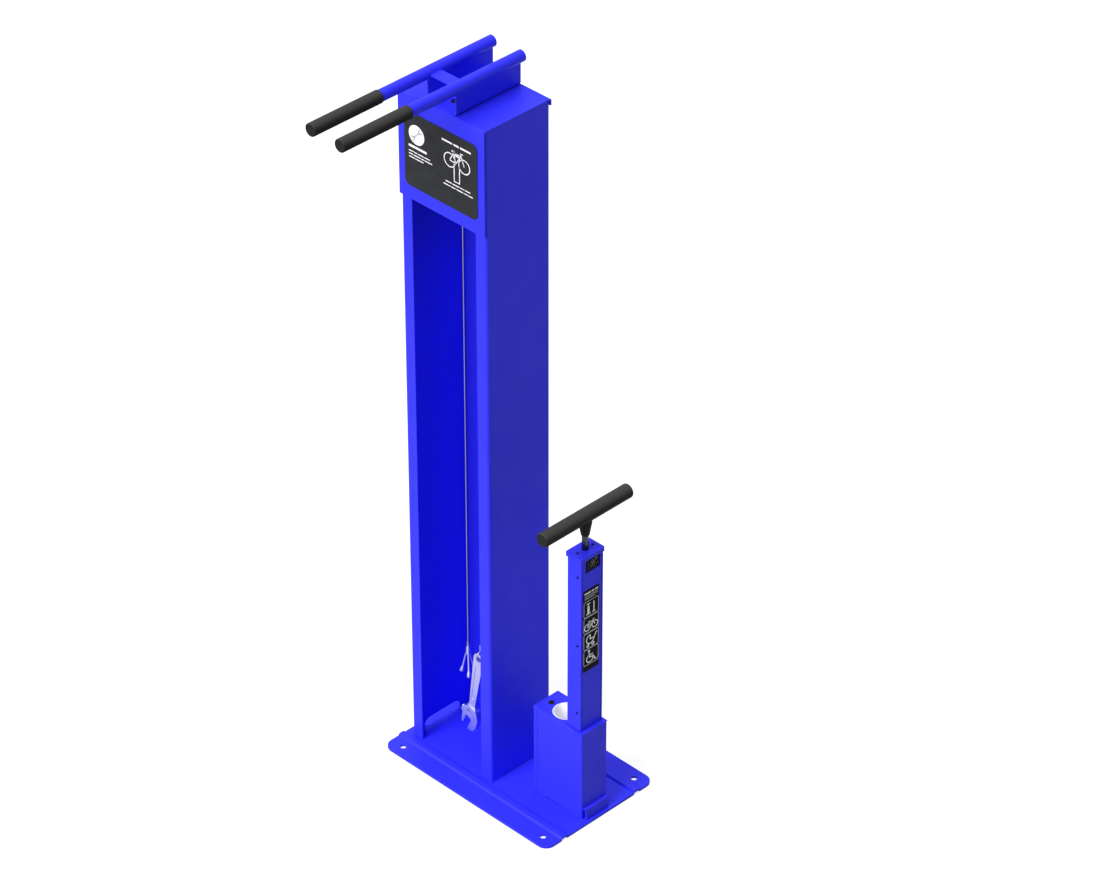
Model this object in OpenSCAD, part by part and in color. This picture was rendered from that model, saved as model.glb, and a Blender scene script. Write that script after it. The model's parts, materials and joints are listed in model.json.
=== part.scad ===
/* [Base plate] */
// Margin of the base plate left of the post
edge_left = 14.75; // [10:0.25:40]
// Margin of the base plate right of the pump box
edge_right = 14.8; // [12:0.1:40]
// Apron of the base plate in front of the post
apron_front = 62.25; // [58:0.25:100]
// Apron of the base plate behind the post
apron_rear = 67.25; // [60:0.25:100]
// Room between the post and the pump box
box_gap = 65.75; // [40:0.25:100]
// Thickness of the base plate
base_t = 5; // [3:0.5:8]
// Corner radius of the base plate
base_corner_r = 20; // [5:1:30]
// Distance of the anchor holes from the plate's sides
anchor_edge_x = 30.25; // [20:0.25:40]
// Distance of the anchor holes from the plate's front and rear
anchor_edge_y = 22.5; // [16:0.5:30]
// Diameter of the anchor holes
anchor_hole_d = 12; // [8:0.5:16]
// Gap between the post and the front bead
bead_gap_front = 7; // [4:0.5:12]
// Gap between the post and the rear bead
bead_gap_rear = 12; // [4:0.5:16]
// Width of a pressed bead at its foot
bead_w = 17; // [12:1:20]
// Height of a pressed bead
bead_h = 4; // [2:0.5:5]

/* [Post] */
// Outer width of the post
post_w = 209.5; // [190:0.5:215]
// Outer depth of the post
post_d = 152; // [130:1:165]
// Height of the station to the top of its head cover
head_top = 1400; // [1000:5:1700]
// Thickness of the post's sheet
post_t = 3; // [2:0.5:4]
// Width of the two front lips
lip_w = 26; // [20:1:35]
// Inner bend radius of the thick sheet
bend_r = 2; // [1:0.5:4]
// Width of the cable notch at the post's foot
notch_w = 92; // [60:1:100]
// Height of the cable notch
notch_h = 18; // [16:1:30]

/* [Head cover] */
// Thickness of the head cover's sheet
cover_t = 3; // [2:0.5:4]
// Height of the cover's front face
cover_h = 208; // [180:1:240]
// Height of the cover's rear lip
cover_lip = 13; // [11:1:20]
// Room between the cover and the post, front and rear
cover_room = 0.9; // [0.5:0.1:1.5]
// Width of the sign panel
sign_w = 178; // [150:1:185]
// Height of the sign panel
sign_h = 148; // [120:1:160]
// Thickness of the sign panel
sign_t = 1; // [0.5:0.1:2]

/* [Arms] */
// Distance between the two arm tubes, axis to axis
arm_pitch = 71; // [60:1:80]
// Diameter of an arm tube
arm_d = 22.2; // [18:0.1:25]
// Wall of an arm tube
arm_wall = 2; // [1.5:0.1:3]
// Height of the arm axes above the head cover
arm_rise = 56; // [45:1:70]
// Reach of the arms in front of the post's middle
arm_reach = 341.5; // [280:0.5:400]
// Length of a grip
grip_l = 156; // [120:1:170]
// Diameter of a grip
grip_d = 25; // [24:0.1:28]
// Depth of the cross bar between the arms
bridge_d = 25; // [15:1:30]
// Thickness of the cross bar
bridge_t = 3; // [2:0.5:5]

/* [Tools] */
// Diameter of the hanging wire ropes
rope_d = 3; // [2.5:0.1:3.5]
// Diameter of the bars that the ropes hang from
hanger_d = 10; // [8:0.5:12]
// Height of the three-legged wrench
tripod_h = 62.6; // [50:0.1:75]
// Spread of the three-legged wrench, middle to socket
tripod_r = 14; // [12:0.5:16]
// Diameter of a leg
leg_d = 4.3; // [3.5:0.1:5]
// Diameter of a socket end
socket_d = 8.8; // [8:0.1:10]
// Hole to head distance of the adjustable wrench
wrench_l = 145; // [130:1:160]
// Width of the adjustable wrench's head
wrench_head_w = 46; // [44:1:50]
// Thickness of the adjustable wrench's head
wrench_head_t = 12; // [11:0.5:14]
// Thickness of the adjustable wrench's handle
wrench_handle_t = 6.5; // [5:0.5:8]
// Lean of the adjustable wrench as it hangs
wrench_lean = 9; // [0:1:12]

/* [Pump] */
// Distance of the pump's axis behind the post's middle
pump_back = 0.5; // [0:0.5:5]
// Outer width of the pump column
column_w = 35; // [34:0.5:37]
// Outer depth of the pump column
column_d = 55; // [50:0.5:58]
// Height of the top of the column's cap
column_top = 584.5; // [450:0.5:700]
// Thickness of the pump's sheets
sheet_t = 2; // [1.5:0.1:2.5]
// Height of the cap's lip
cap_lip = 9; // [6:0.5:12]
// Outer diameter of the pump barrel
barrel_d = 28; // [26:0.5:29]
// Bore of the pump barrel
barrel_bore = 25; // [22:0.5:25]
// Distance of the barrel's top below the cap
barrel_drop = 58.5; // [40:0.5:120]
// Diameter of the pump rod
rod_d = 12.5; // [10:0.5:13]
// Height of the handle's axis above the cap at rest
handle_rise = 72.5; // [65:0.5:90]
// Length of the handle
handle_l = 216; // [160:1:240]
// Diameter of the handle
handle_d = 28; // [26:1:32]

/* [Pump box] */
// Reach of the box left of the pump column
box_reach = 80; // [76:0.5:110]
// Room in the box right of the pump column
box_room = 9.2; // [4:0.1:20]
// Depth of the box
box_d = 65.5; // [62:0.5:72]
// Height of the top of the box
box_top = 199; // [160:1:260]
// Diameter of the stowage hole in the lid
stow_d = 50.8; // [45:0.1:52]
// Depth of the stowage cup
stow_depth = 70; // [50:1:100]

/* [Hidden] */
$fn = 64;

// Colours
blue = [0.18, 0.19, 1];
steel = [0.72, 0.73, 0.78];
black = [0.08, 0.08, 0.09];
grey = [0.25, 0.25, 0.27];
brass = [0.8, 0.65, 0.3];
white = [0.95, 0.95, 0.95];
red = [0.85, 0.15, 0.1];
glass = [0.8, 0.9, 1, 0.4];

// Clearances and overruns
cut = 1;
fit = 0.05;
slide_fit = 0.1;
loose_fit = 0.3;
panel_gap = 0.3;

// Base plate and beads
base_w = edge_left + post_w + box_gap + box_reach + column_w + box_room + edge_right;
base_d = apron_front + post_d + apron_rear;
base_top = base_t;
anchor_dx = base_w - 2 * anchor_edge_x;
anchor_dy = base_d - 2 * anchor_edge_y;
bead_side_w = 3;
groove_inset = 1;

// Post
post_x = edge_left + post_w / 2 - base_w / 2;
post_y = apron_front + post_d / 2 - base_d / 2;
post_top = head_top - cover_t;
post_front = post_y - post_d / 2;
post_back = post_y + post_d / 2;
post_left = post_x - post_w / 2;
post_right = post_x + post_w / 2;
notch_r = 15;
notch_dy = -2.5;
bead_y = [post_front - bead_gap_front - bead_w / 2, post_back + bead_gap_rear + bead_w / 2];
bend_steps = 4;

// Head cover
cover_front = post_front - cover_room - cover_t;
cover_back = post_back + cover_room + cover_t;
cover_bottom = head_top - cover_h;
sign_rise = 26.5;
sign_corner_r = 12;
cover_screw_d = 5;
cover_screw_head_d = 9;
cover_screw_head_h = 2.5;
cover_screw_x = 70;
cover_screw_low = 1;
cover_screw_drop = cover_lip / 2 + cover_screw_low;
cover_bend_r = cover_room - fit;
screw_tail = 4;

// Arms
arm_z = head_top + arm_rise;
arm_x = arm_pitch / 2;
arm_front = post_y - arm_reach;
arm_end_gap = 0.3;
arm_back = post_back - arm_end_gap;
bracket_t = 3;
bracket_x = 35.1;
bracket_seat = 1.5;
grip_end_t = 2;
arm_r = arm_d / 2;
plug_t = 2;
plug_l = 14;
bridge_reach = 77;
bridge_rise = 1;
bridge_y = post_y - bridge_reach + bridge_d / 2;
bridge_top = arm_z + bridge_rise;
bracket_screw_dy = 47.5;
bracket_screw_d = 6;
bracket_screw_head_d = 11;
bracket_screw_head_h = 3.2;
hex_key_share = 0.5;
hex_key_depth_share = 0.6;
mounting_w = 60;
mounting_l = 126;
mounting_t = 5;
mounting_r = 6;

// Hanger bars and wire ropes
hanger_drop = 40;
hanger_z = head_top - hanger_drop;
rope_r = rope_d / 2;
eye_wire_d = 3;
eye_r = hanger_d / 2 + slide_fit + eye_wire_d / 2;
shank_d = 6;
shank_l = 14;
eye_drop = 15;
eye_bottom = hanger_z - eye_drop;
rope_sides = 8;
tripod_dx = -32.5;
tripod_x = post_x + tripod_dx;
tripod_y = post_y;
wrench_rope_dx = 30.4;
wrench_dy = -27.5;
wrench_rope_x = post_x + wrench_rope_dx;
wrench_y = post_y + wrench_dy;
// Heights of the points that the three-legged wrench's rope hangs through
tripod_rope_z = [1345, 1330, 1300, 1240, 1160, 1080, 1000, 920, 840, 760, 680, 600, 520, 440,
    360, 300, 260, 240, 220];
// Heights of the points that the adjustable wrench's rope hangs through
wrench_rope_z = [1345, 1330, 1300, 1240, 1160, 1080, 1000, 920, 840, 760, 680, 600, 520, 440,
    380, 330, 300, 280, 260];

// Three-legged wrench
tripod_hub_d0 = 11;
tripod_hub_d1 = 7.6;
tripod_hub_h = 17;
leg_start = 12.6;
swivel_d = 5;
swivel_chamber_d = 5.6;
swivel_chamber_h = 4.4;
swivel_drop = 4;
swivel_head_h = 3.6;
swivel_head_d = 5.2;
swivel_gap = 0.4;
swivel_neck_l = 10.6;
swivel_top = tripod_rope_z[len(tripod_rope_z) - 1];
tripod_top = swivel_top - swivel_neck_l;
socket_l = 5;
socket_taper_l = 8;
hex_depth = 6;
hex_sizes = [4.2, 5.2, 6.2];
leg_start_az = 201;

// Adjustable wrench
wrench_dx = -4.3;
wrench_x = wrench_rope_x + wrench_dx;
wrench_hole_d = 12;
wrench_end_d = 24;
wrench_neck_w = 15;
wrench_neck_share = 0.78;
wrench_flare_w = 24;
wrench_flare_share = 0.93;
head_shift = 4.7;
head_turn = 14;
panel_w = 9;
panel_depth = 1.1;
panel_start_share = 0.16;
panel_end_share = 0.68;
fixed_face_share = -0.035;
head_shares = [[-0.1, -0.44], [-0.22, -0.3], [-0.31, -0.14], [-0.36, 0.04], [-0.375, 0.22],
    [-0.365, 0.38], [-0.33, 0.52], [-0.27, 0.61], [-0.2, 0.66], [-0.1, 0.67],
    [fixed_face_share, 0.64], [fixed_face_share, 0.13], [fixed_face_share + 0.02, 0.1],
    [0.03, 0.087], [0.565, 0.087], [0.595, 0.03], [0.59, -0.13], [0.55, -0.24], [0.48, -0.34],
    [0.38, -0.42], [0.24, -0.48]];
jaw_face_share = 0.28;
jaw_shares = [[0.34, 0.094], [0.3, 0.11], [jaw_face_share, 0.14], [jaw_face_share, 0.6],
    [0.29, 0.62], [0.315, 0.625], [0.35, 0.6], [0.41, 0.46], [0.455, 0.31], [0.485, 0.18],
    [0.49, 0.094]];
jaw_web_share = 0.11;
jaw_rod_share = 0.64;
jaw_back_share = 0.485;
jaw_web_s = jaw_web_share * wrench_head_w;
jaw_t = wrench_head_t - 2 * loose_fit;
rail_d = 7.6;
rail_s = -1.5;
rail_start = -6.5;
rail_slot_w = 4;
jaw_rod_start = 10;
jaw_rod_end = jaw_rod_share * wrench_head_w;
worm_d = 8.4;
worm_l = 12;
worm_start = 2.6;
worm_gap = 0.2;
worm_s = rail_s - rail_d / 2 - worm_d / 2 - worm_gap;
worm_groove = 0.7;
worm_pitch = 2.5;
worm_pin_d = 2.5;
worm_pin_tail = 5;
worm_window_h = worm_d + 2 * loose_fit;
loop_r = 10;
loop_seat = 0.9;
loop_crimp_l = 14.6;
loop_wire_d = 2.5;
loop_crimp_top = wrench_rope_z[len(wrench_rope_z) - 1];
loop_z = loop_crimp_top - loop_crimp_l - loop_r;
wrench_z = loop_z - loop_r - loop_seat;

// Pump column
pump_x = base_w / 2 - edge_right - box_room - column_w / 2;
pump_y = post_y + pump_back;
column_x0 = pump_x - column_w / 2;
column_x1 = pump_x + column_w / 2;
column_y0 = pump_y - column_d / 2;
column_y1 = pump_y + column_d / 2;
cap_under = column_top - sheet_t;
column_bend_r = 1;
panel_flange = 14;
panel_y0 = column_y0 + sheet_t + slide_fit;
panel_y1 = column_y1 - sheet_t - slide_fit;
screw_d = 3;
screw_head_d = 5;
screw_head_h = 1.3;
column_screw_edge = 8.5;
column_screw_drop = 44.5;
column_screw_pitch = 151;
column_screw_x = column_x1 - column_screw_edge;
column_screw_top = column_top - column_screw_drop;
cap_screw_dy = 19;
top_plate_t = 3;
bush_d = 20;
bush_h = 8;

// Pump barrel and valve block
block_h = 22;
block_w = 30;
block_d = 46;
block_drop = 6;
barrel_z = base_top + block_h - block_drop;
barrel_end = column_top - barrel_drop;
barrel_l = barrel_end - barrel_z;
barrel_head_h = 16;
barrel_head_lip = 3;
check_d = 9;
check_l = 12;

// Piston, rod and handle
piston_h = 16;
piston_room = 0.5;
piston_d = barrel_bore - 2 * piston_room;
piston_floor = 8;
piston_z = barrel_z + block_drop + piston_floor;
seal_h = 8;
seal_start = 4;
seal_z = piston_z + seal_start;
seal_depth = 3;
piston_plate_t = 2;
handle_z = column_top + handle_rise;
rod_stop = 12;
rod_top = handle_z - rod_stop;
hub_d0 = 16;
hub_d1 = 25;
hub_rise = 30;
hub_z = column_top + hub_rise;
hub_spigot_d = 16;
hub_cone_top = handle_z - handle_d / 2;
handle_end_r = 3;
hub_spigot_rise = 8;
hub_spigot_top = handle_z + hub_spigot_rise;

// Gauge
gauge_dy = 6.5;
gauge_drop = 24.25;
gauge_y = pump_y + gauge_dy;
gauge_z = column_top - gauge_drop;
gauge_d = 25;
gauge_depth = 7.5;
gauge_wall = 1.2;
window_w = 36.5;
window_h = 27.5;
window_dy = 2.5;
window_drop = 10.5;
window_y0 = pump_y + window_dy - window_w / 2;
window_y1 = window_y0 + window_w;
window_z1 = column_top - window_drop;
window_z0 = window_z1 - window_h;
window_r = 1.5;
gauge_plate_t = 2;
gauge_plate_edge = 2;
gauge_plate_top = 2.5;
strip_start = 3.5;
strip_y0 = window_y0 + strip_start;
strip_w = 6;
strip_t = 1.4;
dial_t = 0.8;
lens_t = 1.2;
needle_l = 9;
needle_tail = 3;
needle_w = 1;
needle_t = 0.5;
needle_hub_d = 3;
needle_pin_d = 1.2;
gauge_rest = -30;
pipe_d = 4;
pipe_wall = 0.8;
pipe_dx = 5.9;
pipe_dy = 17;
pipe_x = pump_x + pipe_dx;
pipe_y = pump_y + pipe_dy;

// Instruction panel
info_w = 39.5;
info_h = 179.5;
info_dy = -2.5;
info_drop = 75;
info_t = 0.8;
info_r = 2;

// Pump box
box_shift = 0.75;
box_x0 = column_x0 - box_reach;
box_x1 = column_x1 + box_room;
box_y0 = pump_y - box_shift - box_d / 2;
box_y1 = box_y0 + box_d;
seam_flange = 11.5;
seam_x = box_x0 + seam_flange;
lip_inset = 19.2;
lip_end_x = box_x1 - lip_inset;
lid_lip = 14;
tab_w = 16;
rivet_edge = 4.9;
rivet_x = box_x0 + rivet_edge;
rivet_tail = 1;
rivet_drop = 34.4;
rivet_rise = 29;
rivet_d = 3.2;
rivet_head_d = 5;
rivet_head_h = 1;
box_notch_start = 34.5;
box_notch_l = 54.4;
box_notch_x0 = box_x0 + box_notch_start;
box_notch_x1 = box_notch_x0 + box_notch_l;
box_notch_h = 4;
box_notch_side_w = 3;
stow_gap = 1.1;
stow_dy = -1.5;
stow_x = column_x0 - stow_gap - stow_d / 2;
stow_y = pump_y + stow_dy;
cup_room = 0.15;
cup_wall = 1.6;
cup_flange_w = 3;
drain_d = 6;
outlet_edge = 17;
outlet_dy = -3;
outlet_x = box_x0 + outlet_edge;
outlet_y = pump_y + outlet_dy;
outlet_hole_d = 8.5;
grommet_bore = 5;
grommet_flange_d = 11.5;
grommet_flange_t = 1;

// Foot bracket
foot_w = 8.1;
foot_h = 23.5;
foot_t = 2.3;
foot_l = 58.5;
foot_dy = 0.25;

// Outline of a folded sheet. The path runs along its outer face, with the sheet on its left.
function unit(v) = v / norm(v);
function left_of(v) = [-v[1], v[0]];
function turned(v, a) = [v[0] * cos(a) - v[1] * sin(a), v[0] * sin(a) + v[1] * cos(a)];
function turn_angle(u, w) = atan2(u[0] * w[1] - u[1] * w[0], u * w);
function bend_arc(p, u, w, r) =
    let (a = turn_angle(u, w), s = sign(a), c = p - u * r * tan(abs(a) / 2) + s * r * left_of(u))
    [for (k = [0:bend_steps]) c + turned(-s * r * left_of(u), a * k / bend_steps)];
function face(path, t, side, r) =
    let (n = len(path), d = [for (i = [0:n - 2]) unit(path[i + 1] - path[i])])
    [for (i = [0:n - 1])
        let (u = d[max(i - 1, 0)], w = d[min(i, n - 2)])
        let (p = path[i] + side * t * (left_of(u) + left_of(w)) / (1 + u * w))
        let (a = turn_angle(u, w), inside = (a > 0) == (side == 1))
        each (i == 0 || i == n - 1 ? [p] : bend_arc(p, u, w, inside ? r : r + t))];
function reversed(v) = [for (i = [len(v) - 1:-1:0]) v[i]];
function folded(path, t, r) = concat(face(path, t, 0, r), reversed(face(path, t, 1, r)));

// Tube through a list of points, as one closed skin
function ring_at(p, t, r, n) =
    let (a = unit(cross([1, 0, 0], t)), b = cross(t, a))
    [for (k = [0:n - 1]) p + r * (cos(360 * k / n) * a + sin(360 * k / n) * b)];
function tube_points(route, r, n) =
    [for (i = [0:len(route) - 1])
        let (before = route[max(i - 1, 0)], after = route[min(i + 1, len(route) - 1)])
        each ring_at(route[i], unit(after - before), r, n)];
function tube_faces(rings, n) = concat(
    [[for (k = [0:n - 1]) k]],
    [for (i = [0:rings - 2]) for (k = [0:n - 1])
        let (j = (k + 1) % n)
        each [[i * n + k, (i + 1) * n + k, (i + 1) * n + j], [i * n + k, (i + 1) * n + j, i * n + j]]],
    [[for (k = [n - 1:-1:0]) (rings - 1) * n + k]]);

module tube_along(route, r, n) polyhedron(tube_points(route, r, n), tube_faces(len(route), n));

module rounded_rect(w, d, r) {
    dx = w / 2 - r;
    dy = d / 2 - r;
    union() {
        square([w, 2 * dy], center = true);
        square([2 * dx, d], center = true);
        for (x = [-dx, dx], y = [-dy, dy]) translate([x, y]) circle(r);
    }
}

// Places an outline drawn in Y and Z, and extrudes it along X
module along_x(x0, x1) translate([x0, 0, 0]) rotate([90, 0, 90]) linear_extrude(x1 - x0) children();

// Places an outline drawn in X and Z, and extrudes it along Y
module along_y(y0, y1) translate([0, y1, 0]) rotate([90, 0, 0]) linear_extrude(y1 - y0) children();

// Button head screw with a hexagonal recess, its head pointing up, its seat at the origin
module button_screw(d, head_d, head_h, tail) {
    key_d = head_d * hex_key_share;
    key_depth = head_h * hex_key_depth_share;
    difference() {
        union() {
            rotate_extrude() polygon([[0, 0], [head_d / 2, 0], [head_d / 2, head_h / 3],
                [head_d / 2 - head_h / 3, head_h * 0.8], [head_d / 2 - head_h, head_h],
                [0, head_h]]);
            translate([0, 0, -tail]) cylinder(d = d, h = tail);
        }
        translate([0, 0, head_h - key_depth]) cylinder(d = key_d, h = key_depth + cut, $fn = 6);
    }
}

module bead_profile(top_step) {
    h = bead_w / 2 - top_step;
    polygon([[-h, 0], [-h + bead_side_w, bead_h], [h - bead_side_w, bead_h], [h, 0]]);
}

module base_plate() color(blue) {
    difference() {
        union() {
            linear_extrude(base_t) rounded_rect(base_w, base_d, base_corner_r);
            intersection() {
                for (y = bead_y) translate([0, y, base_top])
                    along_x(-base_w / 2, base_w / 2) bead_profile(0);
                linear_extrude(base_t + bead_h) rounded_rect(base_w, base_d, base_corner_r);
            }
        }
        for (y = bead_y) translate([0, y, 0])
            along_x(-base_w / 2 - cut, base_w / 2 + cut) bead_profile(groove_inset);
        for (x = [-anchor_dx / 2, anchor_dx / 2], y = [-anchor_dy / 2, anchor_dy / 2])
            translate([x, y, -cut]) cylinder(d = anchor_hole_d, h = base_t + bead_h + 2 * cut);
    }
}

module post() color(blue) {
    path = [[post_right - lip_w, post_front], [post_right, post_front], [post_right, post_back],
        [post_left, post_back], [post_left, post_front], [post_left + lip_w, post_front]];
    difference() {
        translate([0, 0, base_top]) linear_extrude(post_top - base_top)
            polygon(folded(path, post_t, bend_r));
        translate([post_left - cut, post_y + notch_dy, base_top]) {
            along_x(0, post_t + 2 * cut) {
                translate([-notch_w / 2, -cut]) square([notch_w, notch_h - notch_r + cut]);
                translate([-notch_w / 2 + notch_r, 0]) square([notch_w - 2 * notch_r, notch_h]);
                for (side = [-1, 1])
                    translate([side * (notch_w / 2 - notch_r), notch_h - notch_r]) circle(notch_r);
            }
        }
        cover_screw_places()
            cylinder(d = cover_screw_d + 2 * fit, h = 2 * (post_t + cut), center = true);
    }
}

// The two screws on the cover's rear lip, pointing back
module cover_screw_places()
    for (x = [-cover_screw_x, cover_screw_x])
        translate([post_x + x, post_back, head_top - cover_screw_drop]) rotate([-90, 0, 0]) children();

module head_cover() color(blue) {
    path = [[cover_back, head_top - cover_lip], [cover_back, head_top], [cover_front, head_top],
        [cover_front, cover_bottom]];
    difference() {
        along_x(post_left, post_right) polygon(folded(path, cover_t, cover_bend_r));
        cover_screw_places()
            cylinder(d = cover_screw_d + 2 * fit, h = 2 * (cover_t + cover_room) + cut);
        bracket_screw_places() translate([0, 0, -cover_t - bracket_t - cut])
            cylinder(d = bracket_screw_d + 2 * fit, h = cover_t + bracket_t + 2 * cut);
    }
}

module cover_screws() color(steel) {
    cover_screw_places() translate([0, 0, cover_t + cover_room])
        button_screw(cover_screw_d, cover_screw_head_d, cover_screw_head_h,
            cover_t + cover_room + post_t + screw_tail);
}

module sign_panel() color(grey) {
    translate([post_x, 0, cover_bottom + sign_rise + sign_h / 2])
        along_y(cover_front - sign_t, cover_front) rounded_rect(sign_w, sign_h, sign_corner_r);
}

// The screws that hold the arm bracket, their seats on the bracket's web
module bracket_screw_places()
    for (y = [-bracket_screw_dy, bracket_screw_dy])
        translate([post_x, post_y + y, head_top + bracket_t]) children();

module arm_bracket() color(blue) {
    fin_top = arm_z - arm_r + bracket_seat;
    path = [[post_x - bracket_x, fin_top], [post_x - bracket_x, head_top], [post_x + bracket_x, head_top],
        [post_x + bracket_x, fin_top]];
    difference() {
        along_y(post_front, post_back) polygon(folded(path, bracket_t, bend_r));
        for (x = [-arm_x, arm_x]) translate([post_x + x, post_front - cut, arm_z]) rotate([-90, 0, 0])
            cylinder(r = arm_r + fit, h = post_d + 2 * cut);
        bracket_screw_places() translate([0, 0, -bracket_t - cut])
            cylinder(d = bracket_screw_d + 2 * fit, h = bracket_t + 2 * cut);
    }
}

module bracket_screws() color(black) {
    bracket_screw_places() button_screw(bracket_screw_d, bracket_screw_head_d, bracket_screw_head_h,
        bracket_t + cover_t + mounting_t + screw_tail);
}

module mounting_plate() color(steel) {
    difference() {
        translate([post_x, post_y, post_top - mounting_t]) linear_extrude(mounting_t)
            rounded_rect(mounting_w, mounting_l, mounting_r);
        bracket_screw_places() translate([0, 0, -bracket_t - cover_t - mounting_t - cut])
            cylinder(d = bracket_screw_d + 2 * fit, h = mounting_t + 2 * cut);
    }
}

module arm_tube(x) color(blue) {
    translate([post_x + x, arm_back, arm_z]) rotate([90, 0, 0]) difference() {
        cylinder(r = arm_r, h = arm_back - arm_front - grip_end_t - fit);
        translate([0, 0, -cut]) cylinder(r = arm_r - arm_wall, h = arm_back - arm_front + 2 * cut);
    }
}

module arm_tube_left() arm_tube(-arm_x);

module arm_tube_right() arm_tube(arm_x);

module arm_bridge() color(blue) {
    difference() {
        translate([post_x - arm_x, bridge_y - bridge_d / 2, bridge_top - bridge_t])
            cube([2 * arm_x, bridge_d, bridge_t]);
        for (x = [-arm_x, arm_x]) translate([post_x + x, post_front - cut, arm_z]) rotate([-90, 0, 0])
            cylinder(r = arm_r + fit, h = post_d + 2 * cut);
    }
}

// Rubber grip with a closed, rounded front end
module arm_grip(x) color(black) {
    r = grip_d / 2;
    translate([post_x + x, arm_front, arm_z]) rotate([-90, 0, 0]) difference() {
        rotate_extrude() {
            square([r - grip_end_t, grip_l]);
            translate([0, grip_end_t]) square([r, grip_l - 2 * grip_end_t]);
            for (z = [grip_end_t, grip_l - grip_end_t])
                translate([r - grip_end_t, z]) circle(grip_end_t);
        }
        translate([0, 0, grip_end_t]) cylinder(r = arm_r + fit, h = grip_l);
    }
}

module arm_grip_left() arm_grip(-arm_x);

module arm_grip_right() arm_grip(arm_x);

module arm_end_plugs() color(blue) {
    for (x = [-arm_x, arm_x]) translate([post_x + x, arm_back, arm_z]) rotate([90, 0, 0]) {
        translate([0, 0, -plug_t]) cylinder(r = arm_r, h = plug_t);
        cylinder(r = arm_r - arm_wall - fit, h = plug_l);
    }
}

// Round bars across the inside of the post, one for each rope
module hanger_bars() color(steel) {
    for (y = [tripod_y, wrench_y]) translate([post_left + post_t, y, hanger_z]) rotate([0, 90, 0])
        cylinder(d = hanger_d, h = post_w - 2 * post_t);
}

// Round wire eye that hangs on a bar, with the crimped shank that holds a rope
module rope_eye(x, y) color(steel) {
    difference() {
        union() {
            translate([x, y, hanger_z]) rotate([0, 90, 0]) rotate_extrude()
                translate([eye_r, 0]) circle(d = eye_wire_d, $fn = 24);
            translate([x, y, eye_bottom]) cylinder(d = shank_d, h = shank_l - eye_wire_d);
        }
        translate([x, y, hanger_z]) rotate([0, 90, 0])
            cylinder(d = hanger_d + 2 * slide_fit, h = 2 * shank_d, center = true);
    }
}

module tripod_eye() rope_eye(tripod_x, tripod_y);

module wrench_eye() rope_eye(wrench_rope_x, wrench_y);

module tripod_rope() color(steel)
    tube_along([for (z = tripod_rope_z) [tripod_x, tripod_y, z]], rope_r, rope_sides);

module wrench_rope() color(steel)
    tube_along([for (z = wrench_rope_z) [wrench_rope_x, wrench_y, z]], rope_r, rope_sides);

// Crimp on the rope's end, with a headed pin that turns inside the wrench's hub
module tripod_swivel() color(steel) {
    low = tripod_top - swivel_drop - swivel_head_h;
    translate([tripod_x, tripod_y, 0]) {
        translate([0, 0, tripod_top + swivel_gap])
            cylinder(d = swivel_d, h = swivel_neck_l - swivel_gap);
        translate([0, 0, low]) cylinder(d = rope_d, h = tripod_top + swivel_gap - low);
        translate([0, 0, low]) cylinder(d = swivel_head_d, h = swivel_head_h);
    }
}

// Wrench with three splayed legs, each with a hexagonal socket of its own size
module tripod_wrench() color(steel) {
    tilt = atan2(tripod_r, tripod_h);
    leg_l = norm([tripod_r, tripod_h]);
    difference() {
        union() {
            translate([tripod_x, tripod_y, tripod_top - tripod_hub_h])
                cylinder(d1 = tripod_hub_d0, d2 = tripod_hub_d1, h = tripod_hub_h);
            for (i = [0:2]) translate([tripod_x, tripod_y, tripod_top])
                rotate([0, 180 - tilt, leg_start_az + i * 120]) {
                translate([0, 0, leg_start]) cylinder(d = leg_d, h = leg_l - socket_l - leg_start);
                translate([0, 0, leg_l - socket_l - socket_taper_l])
                    cylinder(d1 = leg_d, d2 = socket_d, h = socket_taper_l);
                translate([0, 0, leg_l - socket_l]) cylinder(d = socket_d, h = socket_l);
            }
        }
        for (i = [0:2]) translate([tripod_x, tripod_y, tripod_top])
            rotate([0, 180 - tilt, leg_start_az + i * 120])
            translate([0, 0, leg_l - hex_depth]) cylinder(d = hex_sizes[i], h = hex_depth + cut, $fn = 6);
        translate([tripod_x, tripod_y, tripod_top - swivel_drop - swivel_chamber_h])
            cylinder(d = swivel_chamber_d, h = swivel_chamber_h);
        translate([tripod_x, tripod_y, tripod_top - swivel_drop - fit])
            cylinder(d = rope_d + 2 * slide_fit, h = swivel_drop + cut);
    }
}

// Crimp and wire ring through the hanging hole of the adjustable wrench
module wrench_loop() color(steel) {
    translate([wrench_rope_x, wrench_y, loop_z]) {
        rotate([0, 90, 0]) rotate_extrude() translate([loop_r, 0]) circle(d = loop_wire_d, $fn = 24);
        translate([0, 0, loop_r]) cylinder(d = shank_d, h = loop_crimp_l);
    }
}

module wrench_place() translate([wrench_x, wrench_y, wrench_z]) rotate([0, wrench_lean, 0]) children();

// The jaw travels along X in this place, and opens towards -X of the handle
module head_place()
    wrench_place() translate([head_shift, 0, -wrench_l]) rotate([0, head_turn, 0]) mirror([1, 0, 0])
    children();

// Outlines of the head are drawn along the jaw's travel and towards the jaw tips
function scaled(shares, size) = [for (p = shares) [p[0] * size, -p[1] * size]];

module head_flat(shares, t) along_y(-t / 2, t / 2) polygon(scaled(shares, wrench_head_w));

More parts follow.
